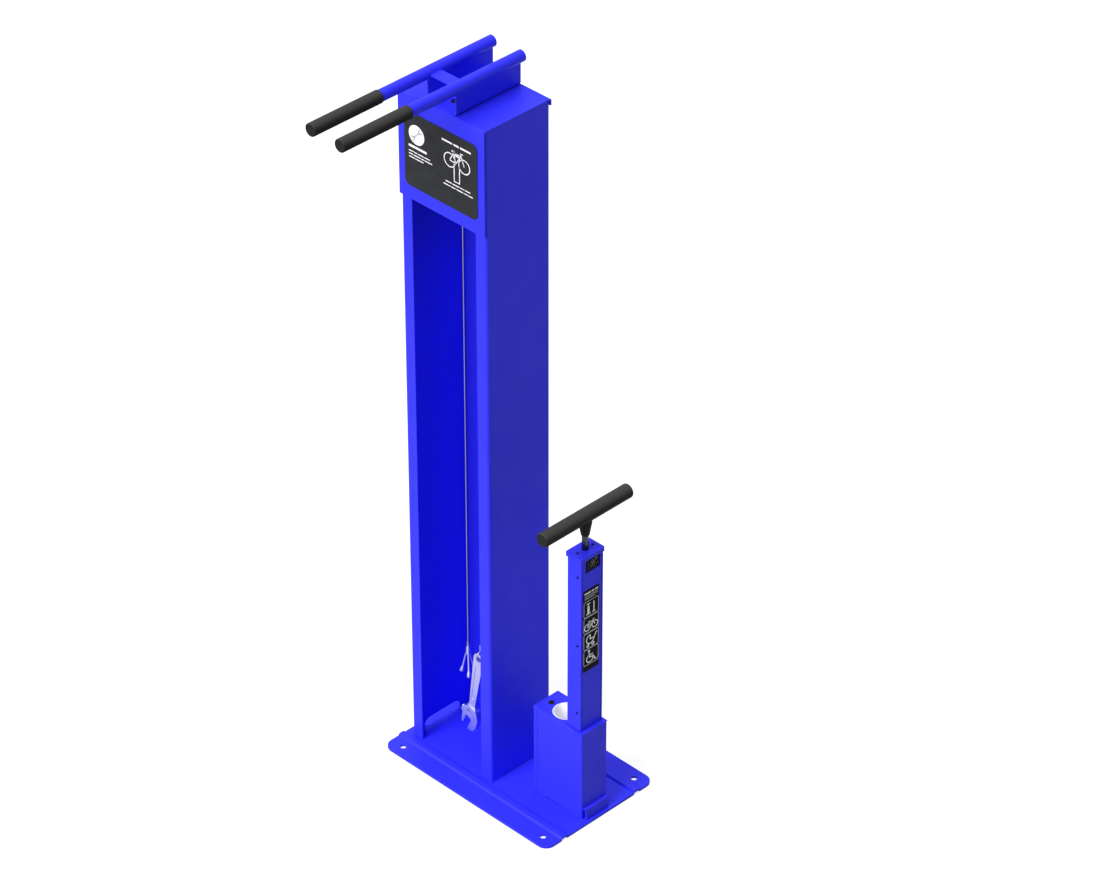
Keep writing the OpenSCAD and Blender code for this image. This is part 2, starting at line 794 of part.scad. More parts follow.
module wrench_body() color(steel) {
    difference() {
        union() {
            wrench_place() along_y(-wrench_handle_t / 2, wrench_handle_t / 2) {
                circle(d = wrench_end_d);
                polygon([[-wrench_end_d / 2, 0], [wrench_end_d / 2, 0],
                    [wrench_neck_w / 2, -wrench_l * wrench_neck_share],
                    [wrench_flare_w / 2, -wrench_l * wrench_flare_share],
                    [-wrench_flare_w / 2, -wrench_l * wrench_flare_share],
                    [-wrench_neck_w / 2, -wrench_l * wrench_neck_share]]);
            }
            head_place() head_flat(head_shares, wrench_head_t);
        }
        wrench_place() rotate([90, 0, 0]) cylinder(d = wrench_hole_d, h = wrench_head_t, center = true);
        wrench_place() for (side = [-1, 1]) translate([0, side * wrench_handle_t / 2, 0])
            along_y(-panel_depth, panel_depth) {
                translate([-panel_w / 2, -wrench_l * panel_end_share])
                    square([panel_w, wrench_l * (panel_end_share - panel_start_share)]);
                for (share = [panel_start_share, panel_end_share])
                    translate([0, -wrench_l * share]) circle(d = panel_w);
            }
        head_place() {
            translate([rail_start, 0, -rail_s]) rotate([0, 90, 0]) cylinder(d = rail_d, h = wrench_head_w);
            translate([fixed_face_share * wrench_head_w, -rail_slot_w / 2, -jaw_web_s - loose_fit])
                cube([wrench_head_w, rail_slot_w, jaw_web_s + loose_fit - rail_s]);
            translate([worm_start - loose_fit, -wrench_head_t, -worm_s - worm_window_h / 2])
                cube([worm_l + 2 * loose_fit, 2 * wrench_head_t, worm_window_h]);
            translate([worm_start - worm_pin_tail, 0, -worm_s]) rotate([0, 90, 0])
                cylinder(d = worm_pin_d + 2 * fit, h = worm_l + 2 * worm_pin_tail);
        }
    }
}

module wrench_jaw() color(steel) {
    face_u = jaw_face_share * wrench_head_w;
    back_u = jaw_back_share * wrench_head_w;
    head_place() {
        head_flat(jaw_shares, jaw_t);
        translate([jaw_rod_start, 0, -rail_s]) rotate([0, 90, 0])
            cylinder(d = rail_d - 2 * slide_fit, h = jaw_rod_end - jaw_rod_start);
        translate([face_u, -rail_slot_w / 2 + slide_fit, -jaw_web_s])
            cube([back_u - face_u, rail_slot_w - 2 * slide_fit, jaw_web_s - rail_s]);
    }
}

// Knurled thumb wheel that moves the jaw, with its grooves and a bore for its pin
module wrench_worm() color(steel) {
    head_place() translate([worm_start, 0, -worm_s]) rotate([0, 90, 0]) rotate_extrude() difference() {
        square([worm_d / 2, worm_l]);
        for (z = [worm_pitch / 2:worm_pitch:worm_l]) translate([worm_d / 2, z]) rotate(45)
            square(worm_groove * sqrt(2), center = true);
        square([worm_pin_d / 2 + fit, worm_l]);
    }
}

module wrench_worm_pin() color(steel) {
    head_place() translate([worm_start - worm_pin_tail + fit, 0, -worm_s]) rotate([0, 90, 0])
        cylinder(d = worm_pin_d, h = worm_l + 2 * worm_pin_tail - 2 * fit);
}

module pump_column() color(blue) {
    path = [[column_x1, column_y1], [column_x0, column_y1], [column_x0, column_y0],
        [column_x1, column_y0]];
    difference() {
        translate([0, 0, base_top]) linear_extrude(cap_under - base_top)
            polygon(folded(path, sheet_t, column_bend_r));
        column_screw_places() cylinder(d = screw_d + 2 * fit, h = 4 * sheet_t, center = true);
    }
}

// Screws on the front and rear faces of the column, in rows of three
module column_screw_places()
    for (i = [0:2]) translate([column_screw_x, 0, column_screw_top - i * column_screw_pitch]) {
        translate([0, column_y0, 0]) rotate([90, 0, 0]) children();
        translate([0, column_y1, 0]) rotate([-90, 0, 0]) children();
    }

module column_panel() color(blue) {
    path = [[column_x1 - panel_flange, panel_y0], [column_x1, panel_y0], [column_x1, panel_y1],
        [column_x1 - panel_flange, panel_y1]];
    difference() {
        translate([0, 0, base_top]) linear_extrude(cap_under - top_plate_t - base_top)
            polygon(folded(path, sheet_t, column_bend_r));
        translate([0, (window_y0 + window_y1) / 2, (window_z0 + window_z1) / 2])
            along_x(column_x1 - 2 * sheet_t, column_x1 + cut)
            rounded_rect(window_w, window_h, window_r);
        column_screw_places() cylinder(d = screw_d + 2 * fit, h = 6 * sheet_t, center = true);
    }
}

module column_screws() color(black)
    column_screw_places() button_screw(screw_d, screw_head_d, screw_head_h, 2 * sheet_t + screw_tail);

module column_cap() color(blue) {
    room = slide_fit + sheet_t;
    difference() {
        translate([pump_x, pump_y, column_top - cap_lip])
            linear_extrude(cap_lip) rounded_rect(column_w + 2 * room, column_d + 2 * room, room);
        translate([pump_x, pump_y, column_top - cap_lip - cut]) linear_extrude(cap_lip - sheet_t + cut)
            rounded_rect(column_w + 2 * slide_fit, column_d + 2 * slide_fit, column_bend_r);
        translate([pump_x, pump_y, cap_under - cut])
            cylinder(d = rod_d + 2 * slide_fit, h = sheet_t + 2 * cut);
        cap_screw_places() translate([0, 0, -sheet_t - cut])
            cylinder(d = screw_d + 2 * fit, h = sheet_t + 2 * cut);
    }
}

module cap_screw_places()
    for (y = [-cap_screw_dy, cap_screw_dy]) translate([pump_x, pump_y + y, column_top]) children();

module cap_screws() color(black)
    cap_screw_places() button_screw(screw_d, screw_head_d, screw_head_h, sheet_t + top_plate_t);

// Inner plate under the cap, that carries the rod's bush
module column_top_plate() color(steel) {
    w = column_w - 2 * sheet_t;
    d = column_d - 2 * sheet_t;
    difference() {
        translate([pump_x, pump_y, cap_under - top_plate_t]) linear_extrude(top_plate_t)
            rounded_rect(w - 2 * fit, d - 2 * fit, column_bend_r + fit);
        translate([pump_x, pump_y, cap_under - top_plate_t - cut])
            cylinder(d = bush_d, h = top_plate_t + 2 * cut);
        cap_screw_places() translate([0, 0, -sheet_t - top_plate_t - cut])
            cylinder(d = screw_d + 2 * fit, h = top_plate_t + 2 * cut);
    }
}

module rod_bush() color(black) {
    translate([pump_x, pump_y, cap_under - bush_h]) difference() {
        cylinder(d = bush_d - 2 * fit, h = bush_h);
        translate([0, 0, -cut]) cylinder(d = rod_d + 2 * fit, h = bush_h + 2 * cut);
    }
}

module pump_barrel() color(steel) {
    translate([pump_x, pump_y, barrel_z]) difference() {
        cylinder(d = barrel_d, h = barrel_l);
        translate([0, 0, -cut]) cylinder(d = barrel_bore, h = barrel_l + 2 * cut);
    }
}

// Guide in the barrel's top, with the rod's bore and an air hole
module barrel_head() color(black) {
    translate([pump_x, pump_y, barrel_end]) difference() {
        union() {
            cylinder(d = barrel_d, h = barrel_head_lip);
            translate([0, 0, -barrel_head_h]) cylinder(d = barrel_bore - 2 * fit, h = barrel_head_h);
        }
        translate([0, 0, -barrel_head_h - cut])
            cylinder(d = rod_d + 2 * fit, h = barrel_head_h + barrel_head_lip + 2 * cut);
    }
}

// Foot of the barrel: a spigot, the air channel, a bore for the check valve and the gauge's outlet
module valve_block() color(steel) {
    difference() {
        union() {
            translate([pump_x - block_w / 2, pump_y - block_d / 2, base_top])
                cube([block_w, block_d, block_h - block_drop]);
            translate([pump_x, pump_y, base_top]) cylinder(d = barrel_bore - 2 * fit, h = block_h);
        }
        translate([pump_x, pump_y, base_top + block_h / 4]) cylinder(d = pipe_d, h = block_h);
        translate([pump_x, pump_y - block_d / 2 - cut, base_top + block_h / 3]) rotate([-90, 0, 0])
            cylinder(d = check_d + 2 * fit, h = check_l + cut);
        translate([pump_x, pump_y - block_d / 2, base_top + block_h / 3]) rotate([-90, 0, 0])
            cylinder(d = pipe_d, h = block_d / 2);
        translate([pipe_x, pipe_y, base_top + block_h / 2 - block_drop / 2])
            cylinder(d = pipe_d + 2 * fit, h = block_h);
    }
}

module check_valve() color(brass) {
    translate([pump_x, pump_y - block_d / 2, base_top + block_h / 3]) rotate([-90, 0, 0]) difference() {
        cylinder(d = check_d, h = check_l);
        translate([0, 0, -cut]) cylinder(d = pipe_d, h = check_l + 2 * cut);
    }
}

module piston() color(steel) {
    translate([pump_x, pump_y, piston_z]) difference() {
        cylinder(d = piston_d, h = piston_h);
        translate([0, 0, seal_start]) difference() {
            cylinder(d = barrel_bore + cut, h = seal_h);
            translate([0, 0, -cut]) cylinder(d = piston_d - 2 * seal_depth, h = seal_h + 2 * cut);
        }
        translate([0, 0, piston_plate_t]) cylinder(d = rod_d + 2 * fit, h = piston_h);
    }
}

module piston_seal() color(black) {
    translate([pump_x, pump_y, seal_z + slide_fit]) difference() {
        cylinder(d = barrel_bore - 2 * fit, h = seal_h - 2 * slide_fit);
        translate([0, 0, -cut]) cylinder(d = piston_d - 2 * seal_depth + 2 * fit, h = seal_h + 2 * cut);
    }
}

module pump_rod() color(grey) {
    translate([pump_x, pump_y, piston_z + piston_plate_t])
        cylinder(d = rod_d, h = rod_top - piston_z - piston_plate_t);
}

module handle_axis() translate([pump_x, pump_y + handle_l / 2, handle_z]) rotate([90, 0, 0]) children();

// Conical hub, saddled against the handle and with a spigot inside it
module handle_hub() color(black) {
    difference() {
        union() {
            difference() {
                translate([pump_x, pump_y, 0]) rotate_extrude() polygon([[0, hub_z + sheet_t / 2],
                    [0, handle_z], [hub_d1 / 2, handle_z], [hub_d1 / 2, hub_cone_top],
                    [hub_d0 / 2, hub_z + sheet_t], [hub_d0 / 2 - sheet_t, hub_z], [0, hub_z]]);
                handle_axis() cylinder(d = handle_d + 2 * fit, h = handle_l);
            }
            translate([pump_x, pump_y, hub_z + sheet_t])
                cylinder(d = hub_spigot_d - 2 * fit, h = hub_spigot_top - hub_z - sheet_t);
        }
        translate([pump_x, pump_y, hub_z - cut]) cylinder(d = rod_d + 2 * fit, h = rod_top - hub_z + cut);
    }
}

// Round handle with softened ends, and a socket for the hub's spigot
module handle_bar() color(black) {
    r = handle_d / 2;
    difference() {
        handle_axis() rotate_extrude() difference() {
            union() {
                square([r - handle_end_r, handle_l]);
                translate([0, handle_end_r]) square([r, handle_l - 2 * handle_end_r]);
                for (z = [handle_end_r, handle_l - handle_end_r])
                    translate([r - handle_end_r, z]) circle(handle_end_r);
            }
            translate([-r, 0]) square([r, handle_l]);
        }
        translate([pump_x, pump_y, handle_z - handle_d])
            cylinder(d = hub_spigot_d, h = handle_d + hub_spigot_rise + fit);
    }
}

// Plate behind the window, with a hole for the gauge and a raised strip beside it
module gauge_bracket() color(grey) {
    x1 = column_x1 - sheet_t;
    y0 = window_y0 - gauge_plate_edge;
    y1 = panel_y1 - sheet_t - column_bend_r;
    difference() {
        union() {
            translate([x1 - gauge_plate_t, y0, window_z0 - gauge_plate_edge])
                cube([gauge_plate_t, y1 - y0, window_h + gauge_plate_edge + gauge_plate_top]);
            translate([x1 - gauge_plate_t, strip_y0, window_z0 + panel_gap])
                cube([gauge_plate_t + strip_t, strip_w, window_h - 2 * panel_gap]);
        }
        translate([x1 - 2 * gauge_plate_t, gauge_y, gauge_z]) rotate([0, 90, 0])
            cylinder(d = gauge_d + 2 * fit, h = 4 * gauge_plate_t);
    }
}

module gauge_place()
    translate([column_x1 - sheet_t - gauge_depth, gauge_y, gauge_z]) rotate([0, 90, 0]) children();

// Round can, open towards the window
module gauge_case() color(black) {
    gauge_place() difference() {
        cylinder(d = gauge_d, h = gauge_depth + sheet_t / 2);
        translate([0, 0, gauge_wall]) cylinder(d = gauge_d - 2 * gauge_wall, h = gauge_depth + sheet_t);
        translate([0, 0, -cut]) cylinder(d = needle_pin_d + 2 * fit, h = gauge_wall + 2 * cut);
    }
}

module gauge_dial() color(black) {
    gauge_place() translate([0, 0, gauge_depth / 2]) difference() {
        cylinder(d = gauge_d - 2 * gauge_wall - 2 * fit, h = dial_t);
        translate([0, 0, -cut]) cylinder(d = needle_pin_d + 2 * fit, h = dial_t + 2 * cut);
    }
}

module gauge_needle() color(red) {
    gauge_place() {
        translate([0, 0, gauge_wall / 2])
            cylinder(d = needle_pin_d, h = gauge_depth / 2 + dial_t + loose_fit);
        translate([0, 0, gauge_depth / 2 + dial_t + loose_fit]) {
            cylinder(d = needle_hub_d, h = 2 * needle_t);
            rotate(gauge_rest) linear_extrude(needle_t) polygon([[-needle_tail, -needle_w],
                [needle_l, -needle_w / 4], [needle_l, needle_w / 4], [-needle_tail, needle_w]]);
        }
    }
}

module gauge_lens() color(glass) {
    gauge_place() translate([0, 0, gauge_depth + sheet_t / 2 - lens_t])
        cylinder(d = gauge_d - 2 * gauge_wall - 2 * fit, h = lens_t);
}

// Small air pipe from the valve block up to the gauge
module gauge_pipe() color(black) {
    low = base_top + block_h / 2 - block_drop / 2;
    translate([pipe_x, pipe_y, low]) difference() {
        cylinder(d = pipe_d, h = gauge_z - gauge_d / 4 - low);
        translate([0, 0, -cut]) cylinder(d = pipe_d - 2 * pipe_wall, h = gauge_z);
    }
}

module instruction_panel() color(black) {
    translate([0, pump_y + info_dy, column_top - info_drop - info_h / 2])
        along_x(column_x1, column_x1 + info_t) rounded_rect(info_w, info_h, info_r);
}

// Rivets through the box's two flanges, pointing out
module rivet_places()
    for (z = [base_top + rivet_rise, box_top - rivet_drop]) translate([rivet_x, 0, z]) {
        translate([0, box_y0, 0]) rotate([90, 0, 0]) children();
        translate([0, box_y1, 0]) rotate([-90, 0, 0]) children();
    }

module box_side() color(blue) {
    path = [[seam_x, box_y1], [box_x0, box_y1], [box_x0, box_y0], [seam_x, box_y0]];
    difference() {
        translate([0, 0, base_top]) linear_extrude(box_top - sheet_t - base_top)
            polygon(folded(path, sheet_t, column_bend_r));
        translate([box_x0 + sheet_t, box_y0 - cut, box_top - lid_lip - panel_gap])
            cube([seam_x, sheet_t + cut, lid_lip]);
        translate([box_x0 + sheet_t, box_y1 - sheet_t, box_top - lid_lip - panel_gap])
            cube([seam_x, sheet_t + cut, lid_lip]);
        rivet_places() cylinder(d = rivet_d + 2 * fit, h = 4 * sheet_t, center = true);
    }
}

// Front, right and rear walls in one sheet, with tabs behind the side's flanges
module box_cover() color(blue) {
    path = [[seam_x + panel_gap, box_y0], [box_x1, box_y0], [box_x1, box_y1],
        [seam_x + panel_gap, box_y1]];
    h = box_top - sheet_t - base_top;
    tab_x = box_x0 + sheet_t + column_bend_r + slide_fit;
    difference() {
        union() {
            translate([0, 0, base_top]) linear_extrude(h) polygon(folded(path, sheet_t, column_bend_r));
            for (y = [box_y0 + sheet_t, box_y1 - 2 * sheet_t]) translate([tab_x, y, base_top])
                cube([tab_w, sheet_t, box_top - lid_lip - panel_gap - base_top]);
        }
        for (y = [box_y0 - cut, box_y1 - sheet_t - cut])
            translate([box_x0, y, box_top - lid_lip - panel_gap])
            cube([lip_end_x + panel_gap - box_x0, sheet_t + 2 * cut, lid_lip]);
        translate([0, 0, base_top]) along_y(box_y0 - cut, box_y0 + sheet_t + cut)
            polygon([[box_notch_x0, -cut], [box_notch_x1, -cut],
                [box_notch_x1 - box_notch_side_w, box_notch_h],
                [box_notch_x0 + box_notch_side_w, box_notch_h]]);
        rivet_places() cylinder(d = rivet_d + 2 * fit, h = 6 * sheet_t, center = true);
    }
}

module box_rivets() color(blue)
    rivet_places() {
        rotate_extrude() polygon([[0, 0], [rivet_head_d / 2, 0], [rivet_head_d / 2, rivet_head_h / 3],
            [rivet_head_d / 4, rivet_head_h], [0, rivet_head_h]]);
        translate([0, 0, -2 * sheet_t - rivet_tail]) cylinder(d = rivet_d, h = 2 * sheet_t + rivet_tail);
    }

// Top plate with a lip down the front and the rear, and holes for the column, cup and hose
module box_lid() color(blue) {
    path = [[box_y1, box_top - lid_lip], [box_y1, box_top], [box_y0, box_top],
        [box_y0, box_top - lid_lip]];
    gap = panel_gap;
    difference() {
        union() {
            along_x(box_x0, lip_end_x) polygon(folded(path, sheet_t, column_bend_r));
            translate([lip_end_x - sheet_t, box_y0, box_top - sheet_t])
                cube([box_x1 - lip_end_x + sheet_t, box_d, sheet_t]);
        }
        translate([box_x0 - cut, box_y0 - cut, box_top - lid_lip - cut])
            cube([sheet_t + cut + gap, box_d + 2 * cut, lid_lip - sheet_t + cut]);
        translate([column_x0 - gap, column_y0 - gap, box_top - lid_lip - cut])
            cube([column_w + 2 * gap, column_d + 2 * gap, lid_lip + 2 * cut]);
        translate([stow_x, stow_y, box_top - 2 * sheet_t]) cylinder(d = stow_d, h = 4 * sheet_t);
        translate([outlet_x, outlet_y, box_top - 2 * sheet_t])
            cylinder(d = outlet_hole_d, h = 4 * sheet_t);
    }
}

// White cup that the hose head is put away in, its flange trimmed beside the column
module stow_cup() color(white) {
    r = stow_d / 2 - cup_room;
    low = box_top - stow_depth;
    flange_top = box_top - sheet_t - fit;
    difference() {
        translate([stow_x, stow_y, 0]) difference() {
            rotate_extrude() polygon([[0, low], [r - 2 * cup_wall, low], [r, low + 2 * cup_wall],
                [r, flange_top - cup_wall], [r + cup_flange_w, flange_top - cup_wall],
                [r + cup_flange_w, flange_top], [r, flange_top], [r, box_top], [r - cup_wall, box_top],
                [r - cup_wall, low + 3 * cup_wall], [r - 3 * cup_wall, low + cup_wall],
                [0, low + cup_wall]]);
            translate([0, 0, low - cut]) cylinder(d = drain_d, h = cup_wall + 2 * cut);
        }
        translate([column_x0 - panel_gap, column_y0, low])
            cube([column_w, column_d, stow_depth]);
    }
}

module hose_grommet() color(black) {
    r = outlet_hole_d / 2;
    translate([outlet_x, outlet_y, box_top]) rotate_extrude() polygon([
        [grommet_bore / 2, -sheet_t - grommet_flange_t],
        [grommet_flange_d / 2, -sheet_t - grommet_flange_t], [grommet_flange_d / 2, -sheet_t - fit],
        [r - fit, -sheet_t - fit], [r - fit, 0],
        [grommet_flange_d / 2, 0], [grommet_flange_d / 2 - grommet_flange_t / 2, grommet_flange_t],
        [grommet_bore / 2, grommet_flange_t]]);
}

module foot_bracket() color(blue) {
    path = [[box_x1 + foot_w, base_top], [box_x1 + foot_w, base_top + foot_h], [box_x1, base_top + foot_h]];
    y0 = pump_y + foot_dy - foot_l / 2;
    along_y(y0, y0 + foot_l) polygon(folded(path, foot_t, column_bend_r));
}

base_plate();
post();
head_cover();
cover_screws();
sign_panel();
arm_bracket();
bracket_screws();
mounting_plate();
arm_tube_left();
arm_tube_right();
arm_bridge();
arm_grip_left();
arm_grip_right();
arm_end_plugs();
hanger_bars();
tripod_eye();
tripod_rope();
tripod_swivel();
tripod_wrench();
wrench_eye();
wrench_rope();
wrench_loop();
wrench_body();
wrench_jaw();
wrench_worm();
wrench_worm_pin();
pump_column();
column_panel();
column_screws();
column_cap();
cap_screws();
column_top_plate();
rod_bush();
pump_barrel();
barrel_head();
valve_block();
check_valve();
piston();
piston_seal();
pump_rod();
handle_hub();
handle_bar();
gauge_bracket();
gauge_case();
gauge_dial();
gauge_needle();
gauge_lens();
gauge_pipe();
instruction_panel();
box_side();
box_cover();
box_lid();
box_rivets();
foot_bracket();
stow_cup();
hose_grommet();
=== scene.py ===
import json
import math

import bmesh
import bpy
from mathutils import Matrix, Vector


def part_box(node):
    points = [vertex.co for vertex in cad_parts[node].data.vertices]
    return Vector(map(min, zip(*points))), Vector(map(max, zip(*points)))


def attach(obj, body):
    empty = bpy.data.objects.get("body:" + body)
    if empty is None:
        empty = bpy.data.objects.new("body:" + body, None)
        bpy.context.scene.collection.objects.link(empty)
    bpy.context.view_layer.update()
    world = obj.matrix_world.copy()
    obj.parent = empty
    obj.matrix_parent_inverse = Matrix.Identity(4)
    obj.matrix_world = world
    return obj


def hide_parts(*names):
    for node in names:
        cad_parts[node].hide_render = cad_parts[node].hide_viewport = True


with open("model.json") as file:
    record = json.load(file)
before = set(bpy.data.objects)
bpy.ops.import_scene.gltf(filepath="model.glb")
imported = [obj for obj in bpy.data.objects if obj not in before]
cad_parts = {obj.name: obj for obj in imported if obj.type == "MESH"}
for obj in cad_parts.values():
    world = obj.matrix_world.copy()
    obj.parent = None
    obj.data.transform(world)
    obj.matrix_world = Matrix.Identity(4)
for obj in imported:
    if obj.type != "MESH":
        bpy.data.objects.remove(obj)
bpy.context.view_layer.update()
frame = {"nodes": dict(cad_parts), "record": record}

MM = 0.001
NODES = frame["nodes"]


def mm(*values):
    """A point given in millimetres, as a vector in metres."""
    return Vector(values) * MM


# Camera, at the photograph's viewing angle
IMAGE_W = 1100
CAMERA_AZIMUTH, CAMERA_ELEVATION = 45.04, 34.80
CAMERA_PLACE = mm(4741, -4651, 5347)
FOCAL_PX = 4592
SENSOR = 36
CLIP_START, CLIP_END = 0.1, 100


def make_camera():
    azimuth, elevation = math.radians(CAMERA_AZIMUTH), math.radians(CAMERA_ELEVATION)
    level = math.cos(elevation)
    back = Vector((math.sin(azimuth) * level, -math.cos(azimuth) * level, math.sin(elevation)))
    data = bpy.data.cameras.new("camera")
    data.sensor_width = SENSOR
    data.lens = SENSOR * FOCAL_PX / IMAGE_W
    data.clip_start, data.clip_end = CLIP_START, CLIP_END
    camera = bpy.data.objects.new("camera", data)
    bpy.context.scene.collection.objects.link(camera)
    camera.location = CAMERA_PLACE
    camera.rotation_mode = "QUATERNION"
    camera.rotation_quaternion = (-back).to_track_quat("-Z", "Y")
    bpy.context.scene.camera = camera


make_camera()


# Mesh helpers
MERGE_DISTANCE = 1e-7
LEAST_CROSS = 0.1


def mesh_object(name, bm, body, smooth=True):
    """The finished mesh as a piece that rides on a body."""
    bmesh.ops.remove_doubles(bm, verts=bm.verts, dist=MERGE_DISTANCE)
    bmesh.ops.recalc_face_normals(bm, faces=bm.faces)
    data = bpy.data.meshes.new(name)
    bm.to_mesh(data)
    bm.free()
    obj = bpy.data.objects.new(name, data)
    bpy.context.scene.collection.objects.link(obj)
    if smooth:
        data.shade_smooth()
    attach(obj, body)
    return obj


def square_to(direction):
    """Two directions square to the given one and to each other."""
    along = direction.normalized()
    first = along.cross(Vector((1, 0, 0)))
    if first.length < LEAST_CROSS:
        first = along.cross(Vector((0, 1, 0)))
    first.normalize()
    return first, along.cross(first)


def add_ring(bm, centre, along, radii):
    """Vertices round a centre, square to along, one at each of the radii."""
    a, b = square_to(along)
    ring = []
    for k, r in enumerate(radii):
        angle = math.tau * k / len(radii)
        ring.append(bm.verts.new(centre + a * r * math.cos(angle) + b * r * math.sin(angle)))
    return ring


def add_skin(bm, rings):
    """Faces from each ring to the next, and a cap at each end."""
    for low, high in zip(rings, rings[1:]):
        for k in range(len(low)):
            j = (k + 1) % len(low)
            bm.faces.new((low[k], low[j], high[j], high[k]))
    bm.faces.new(reversed(rings[0]))
    bm.faces.new(rings[-1])


# Wire ropes: the same points as in the part's source
ROPE_D = 3 * MM
ROPE_GROOVE = 0.35 * MM
ROPE_LAY = 19 * MM
ROPE_STEP = 1.6 * MM
ROPE_STRANDS = 6
ROPE_SIDES = 30
TRIPOD_ROPE_XY = (-127.5, -2.5)
WRENCH_ROPE_XY = (-64.6, -30)
TRIPOD_ROPE_Z = (1345, 1330, 1300, 1240, 1160, 1080, 1000, 920, 840, 760, 680, 600, 520, 440,
                 360, 300, 260, 240, 220)
WRENCH_ROPE_Z = (1345, 1330, 1300, 1240, 1160, 1080, 1000, 920, 840, 760, 680, 600, 520, 440,
                 380, 330, 300, 280, 260)


def rope_radii(run):
    """The radii round a rope at a distance run from its end. Its strands turn once in each lay."""
    radii = []
    for k in range(ROPE_SIDES):
        angle = math.tau * k / ROPE_SIDES
        groove = 0.5 - 0.5 * math.cos(ROPE_STRANDS * (angle - math.tau * run / ROPE_LAY))
        radii.append(ROPE_D / 2 - ROPE_GROOVE * groove)
    return radii


def make_rope(node, body, xy, heights):
    """A straight rope of twisted strands in place of the node's plain tube."""
    route = [mm(*xy, z) for z in heights]
    top, end = route[0], route[-1]
    length = (top - end).length
    steps = round(length / ROPE_STEP)
    bm = bmesh.new()
    add_skin(bm, [add_ring(bm, top.lerp(end, i / steps), end - top, rope_radii(length * i / steps))
                  for i in range(steps + 1)])
    rope = mesh_object(node + "_strands", bm, body)
    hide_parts(node)
    return rope


ropes = [
    make_rope("tripod_rope", "tripod_line", TRIPOD_ROPE_XY, TRIPOD_ROPE_Z),
    make_rope("wrench_rope", "wrench_line", WRENCH_ROPE_XY, WRENCH_ROPE_Z),
]


# Materials
def srgb(r, g, b):
    """A colour given as 0 to 255 display values, as linear values."""
    def one(v):
        v /= 255
        return v / 12.92 if v <= 0.04045 else ((v + 0.055) / 1.055) ** 2.4
    return (one(r), one(g), one(b), 1.0)


def scaled(color, factor, added=0.0):
    """The colour times factor, plus added, and no brighter than 1."""
    return tuple(min(1.0, c * factor + added) for c in color[:3]) + (1.0,)


EDGE_SAMPLES = 4
EDGE_MATCH = (0.92, 0.995)
EDGE_PATCH = 0.008
EDGE_LEAST = 0.3
CREVICE_SAMPLES = 8
CREVICE_SKY = (0.4, 0.9)
UPWARD_Z = (0.1, 0.75)
NOISE_MIDDLE = (0.3, 0.7)
MIX_FACTOR, MIX_A, MIX_B, MIX_RESULT = 0, 6, 7, 2


class Material:
    """A node material with one Principled shader, and short calls for the nodes that it needs."""

    def __init__(self, name, color, roughness, metallic=0.0, **sockets):
        self.mat = bpy.data.materials.new(name)
        self.mat.use_nodes = True
        self.tree = self.mat.node_tree
        self.bsdf = self.tree.nodes["Principled BSDF"]
        self.bsdf.inputs["Base Color"].default_value = color
        self.bsdf.inputs["Roughness"].default_value = roughness
        self.bsdf.inputs["Metallic"].default_value = metallic
        for key, value in sockets.items():
            self.bsdf.inputs[key.replace("_", " ")].default_value = value
        self.coords = self.node("ShaderNodeTexCoord").outputs["Object"]

    def node(self, kind, inputs=None, **settings):
        """A node with its settings made, and its inputs linked or set."""
        made = self.tree.nodes.new(kind)
        for key, value in settings.items():
            setattr(made, key, value)
        for key, value in (inputs or {}).items():
            if hasattr(value, "node"):
                self.tree.links.new(value, made.inputs[key])
            else:
                made.inputs[key].default_value = value
        return made

    def link(self, output, socket):
        self.tree.links.new(output, self.bsdf.inputs[socket])

    def noise(self, size, detail=3.0, roughness=0.55, stretch=None):
        """Noise whose blobs are about size metres across. stretch scales it along X, Y and Z."""
        vector = self.coords
        if stretch:
            vector = self.node("ShaderNodeVectorMath", {0: vector, 1: stretch},
                               operation="MULTIPLY").outputs[0]
        return self.node("ShaderNodeTexNoise", {"Vector": vector, "Scale": 1 / size, "Detail": detail,
                                                "Roughness": roughness}).outputs["Fac"]

    def spread(self, value, low, high, between=NOISE_MIDDLE):
        """The value between two levels, stretched to run from low to high and held there."""
        return self.node("ShaderNodeMapRange", {"Value": value, "From Min": between[0],
                                                "From Max": between[1], "To Min": low,
                                                "To Max": high}).outputs[0]

    def blend(self, share, a, b):
        """a where share is 0, b where it is 1."""
        return self.node("ShaderNodeMix", {MIX_FACTOR: share, MIX_A: a, MIX_B: b},
                         data_type="RGBA").outputs[MIX_RESULT]

    def bump(self, height, distance):
        made = self.node("ShaderNodeBump", {"Height": height, "Distance": distance})
        self.link(made.outputs[0], "Normal")

    def facing(self):
        return self.node("ShaderNodeNewGeometry").outputs["Normal"]

    def edges(self, radius, most):
        """Up to most along edges, 0 on flat faces, broken up by noise."""
        rounded = self.node("ShaderNodeBevel", {"Radius": radius}, samples=EDGE_SAMPLES).outputs[0]
        match = self.node("ShaderNodeVectorMath", {0: rounded, 1: self.facing()},
                          operation="DOT_PRODUCT").outputs["Value"]
        worn = self.spread(match, most, 0.0, EDGE_MATCH)
        patches = self.spread(self.noise(EDGE_PATCH), EDGE_LEAST, 1.0)
        return self.node("ShaderNodeMath", {0: worn, 1: patches}, operation="MULTIPLY").outputs[0]

    def painted_crevice_shade(self, reach, most):
        """Painted shade: up to most in corners and gaps narrower than reach, 0 in the open."""
        sky = self.node("ShaderNodeAmbientOcclusion", {"Distance": reach}, samples=CREVICE_SAMPLES)
        return self.spread(sky.outputs["AO"], most, 0.0, CREVICE_SKY)

    def upward(self):
        """1 on faces that look up, 0 on upright faces and below."""
        height = self.node("ShaderNodeSeparateXYZ", {0: self.facing()}).outputs["Z"]
        return self.spread(height, 0.0, 1.0, UPWARD_Z)


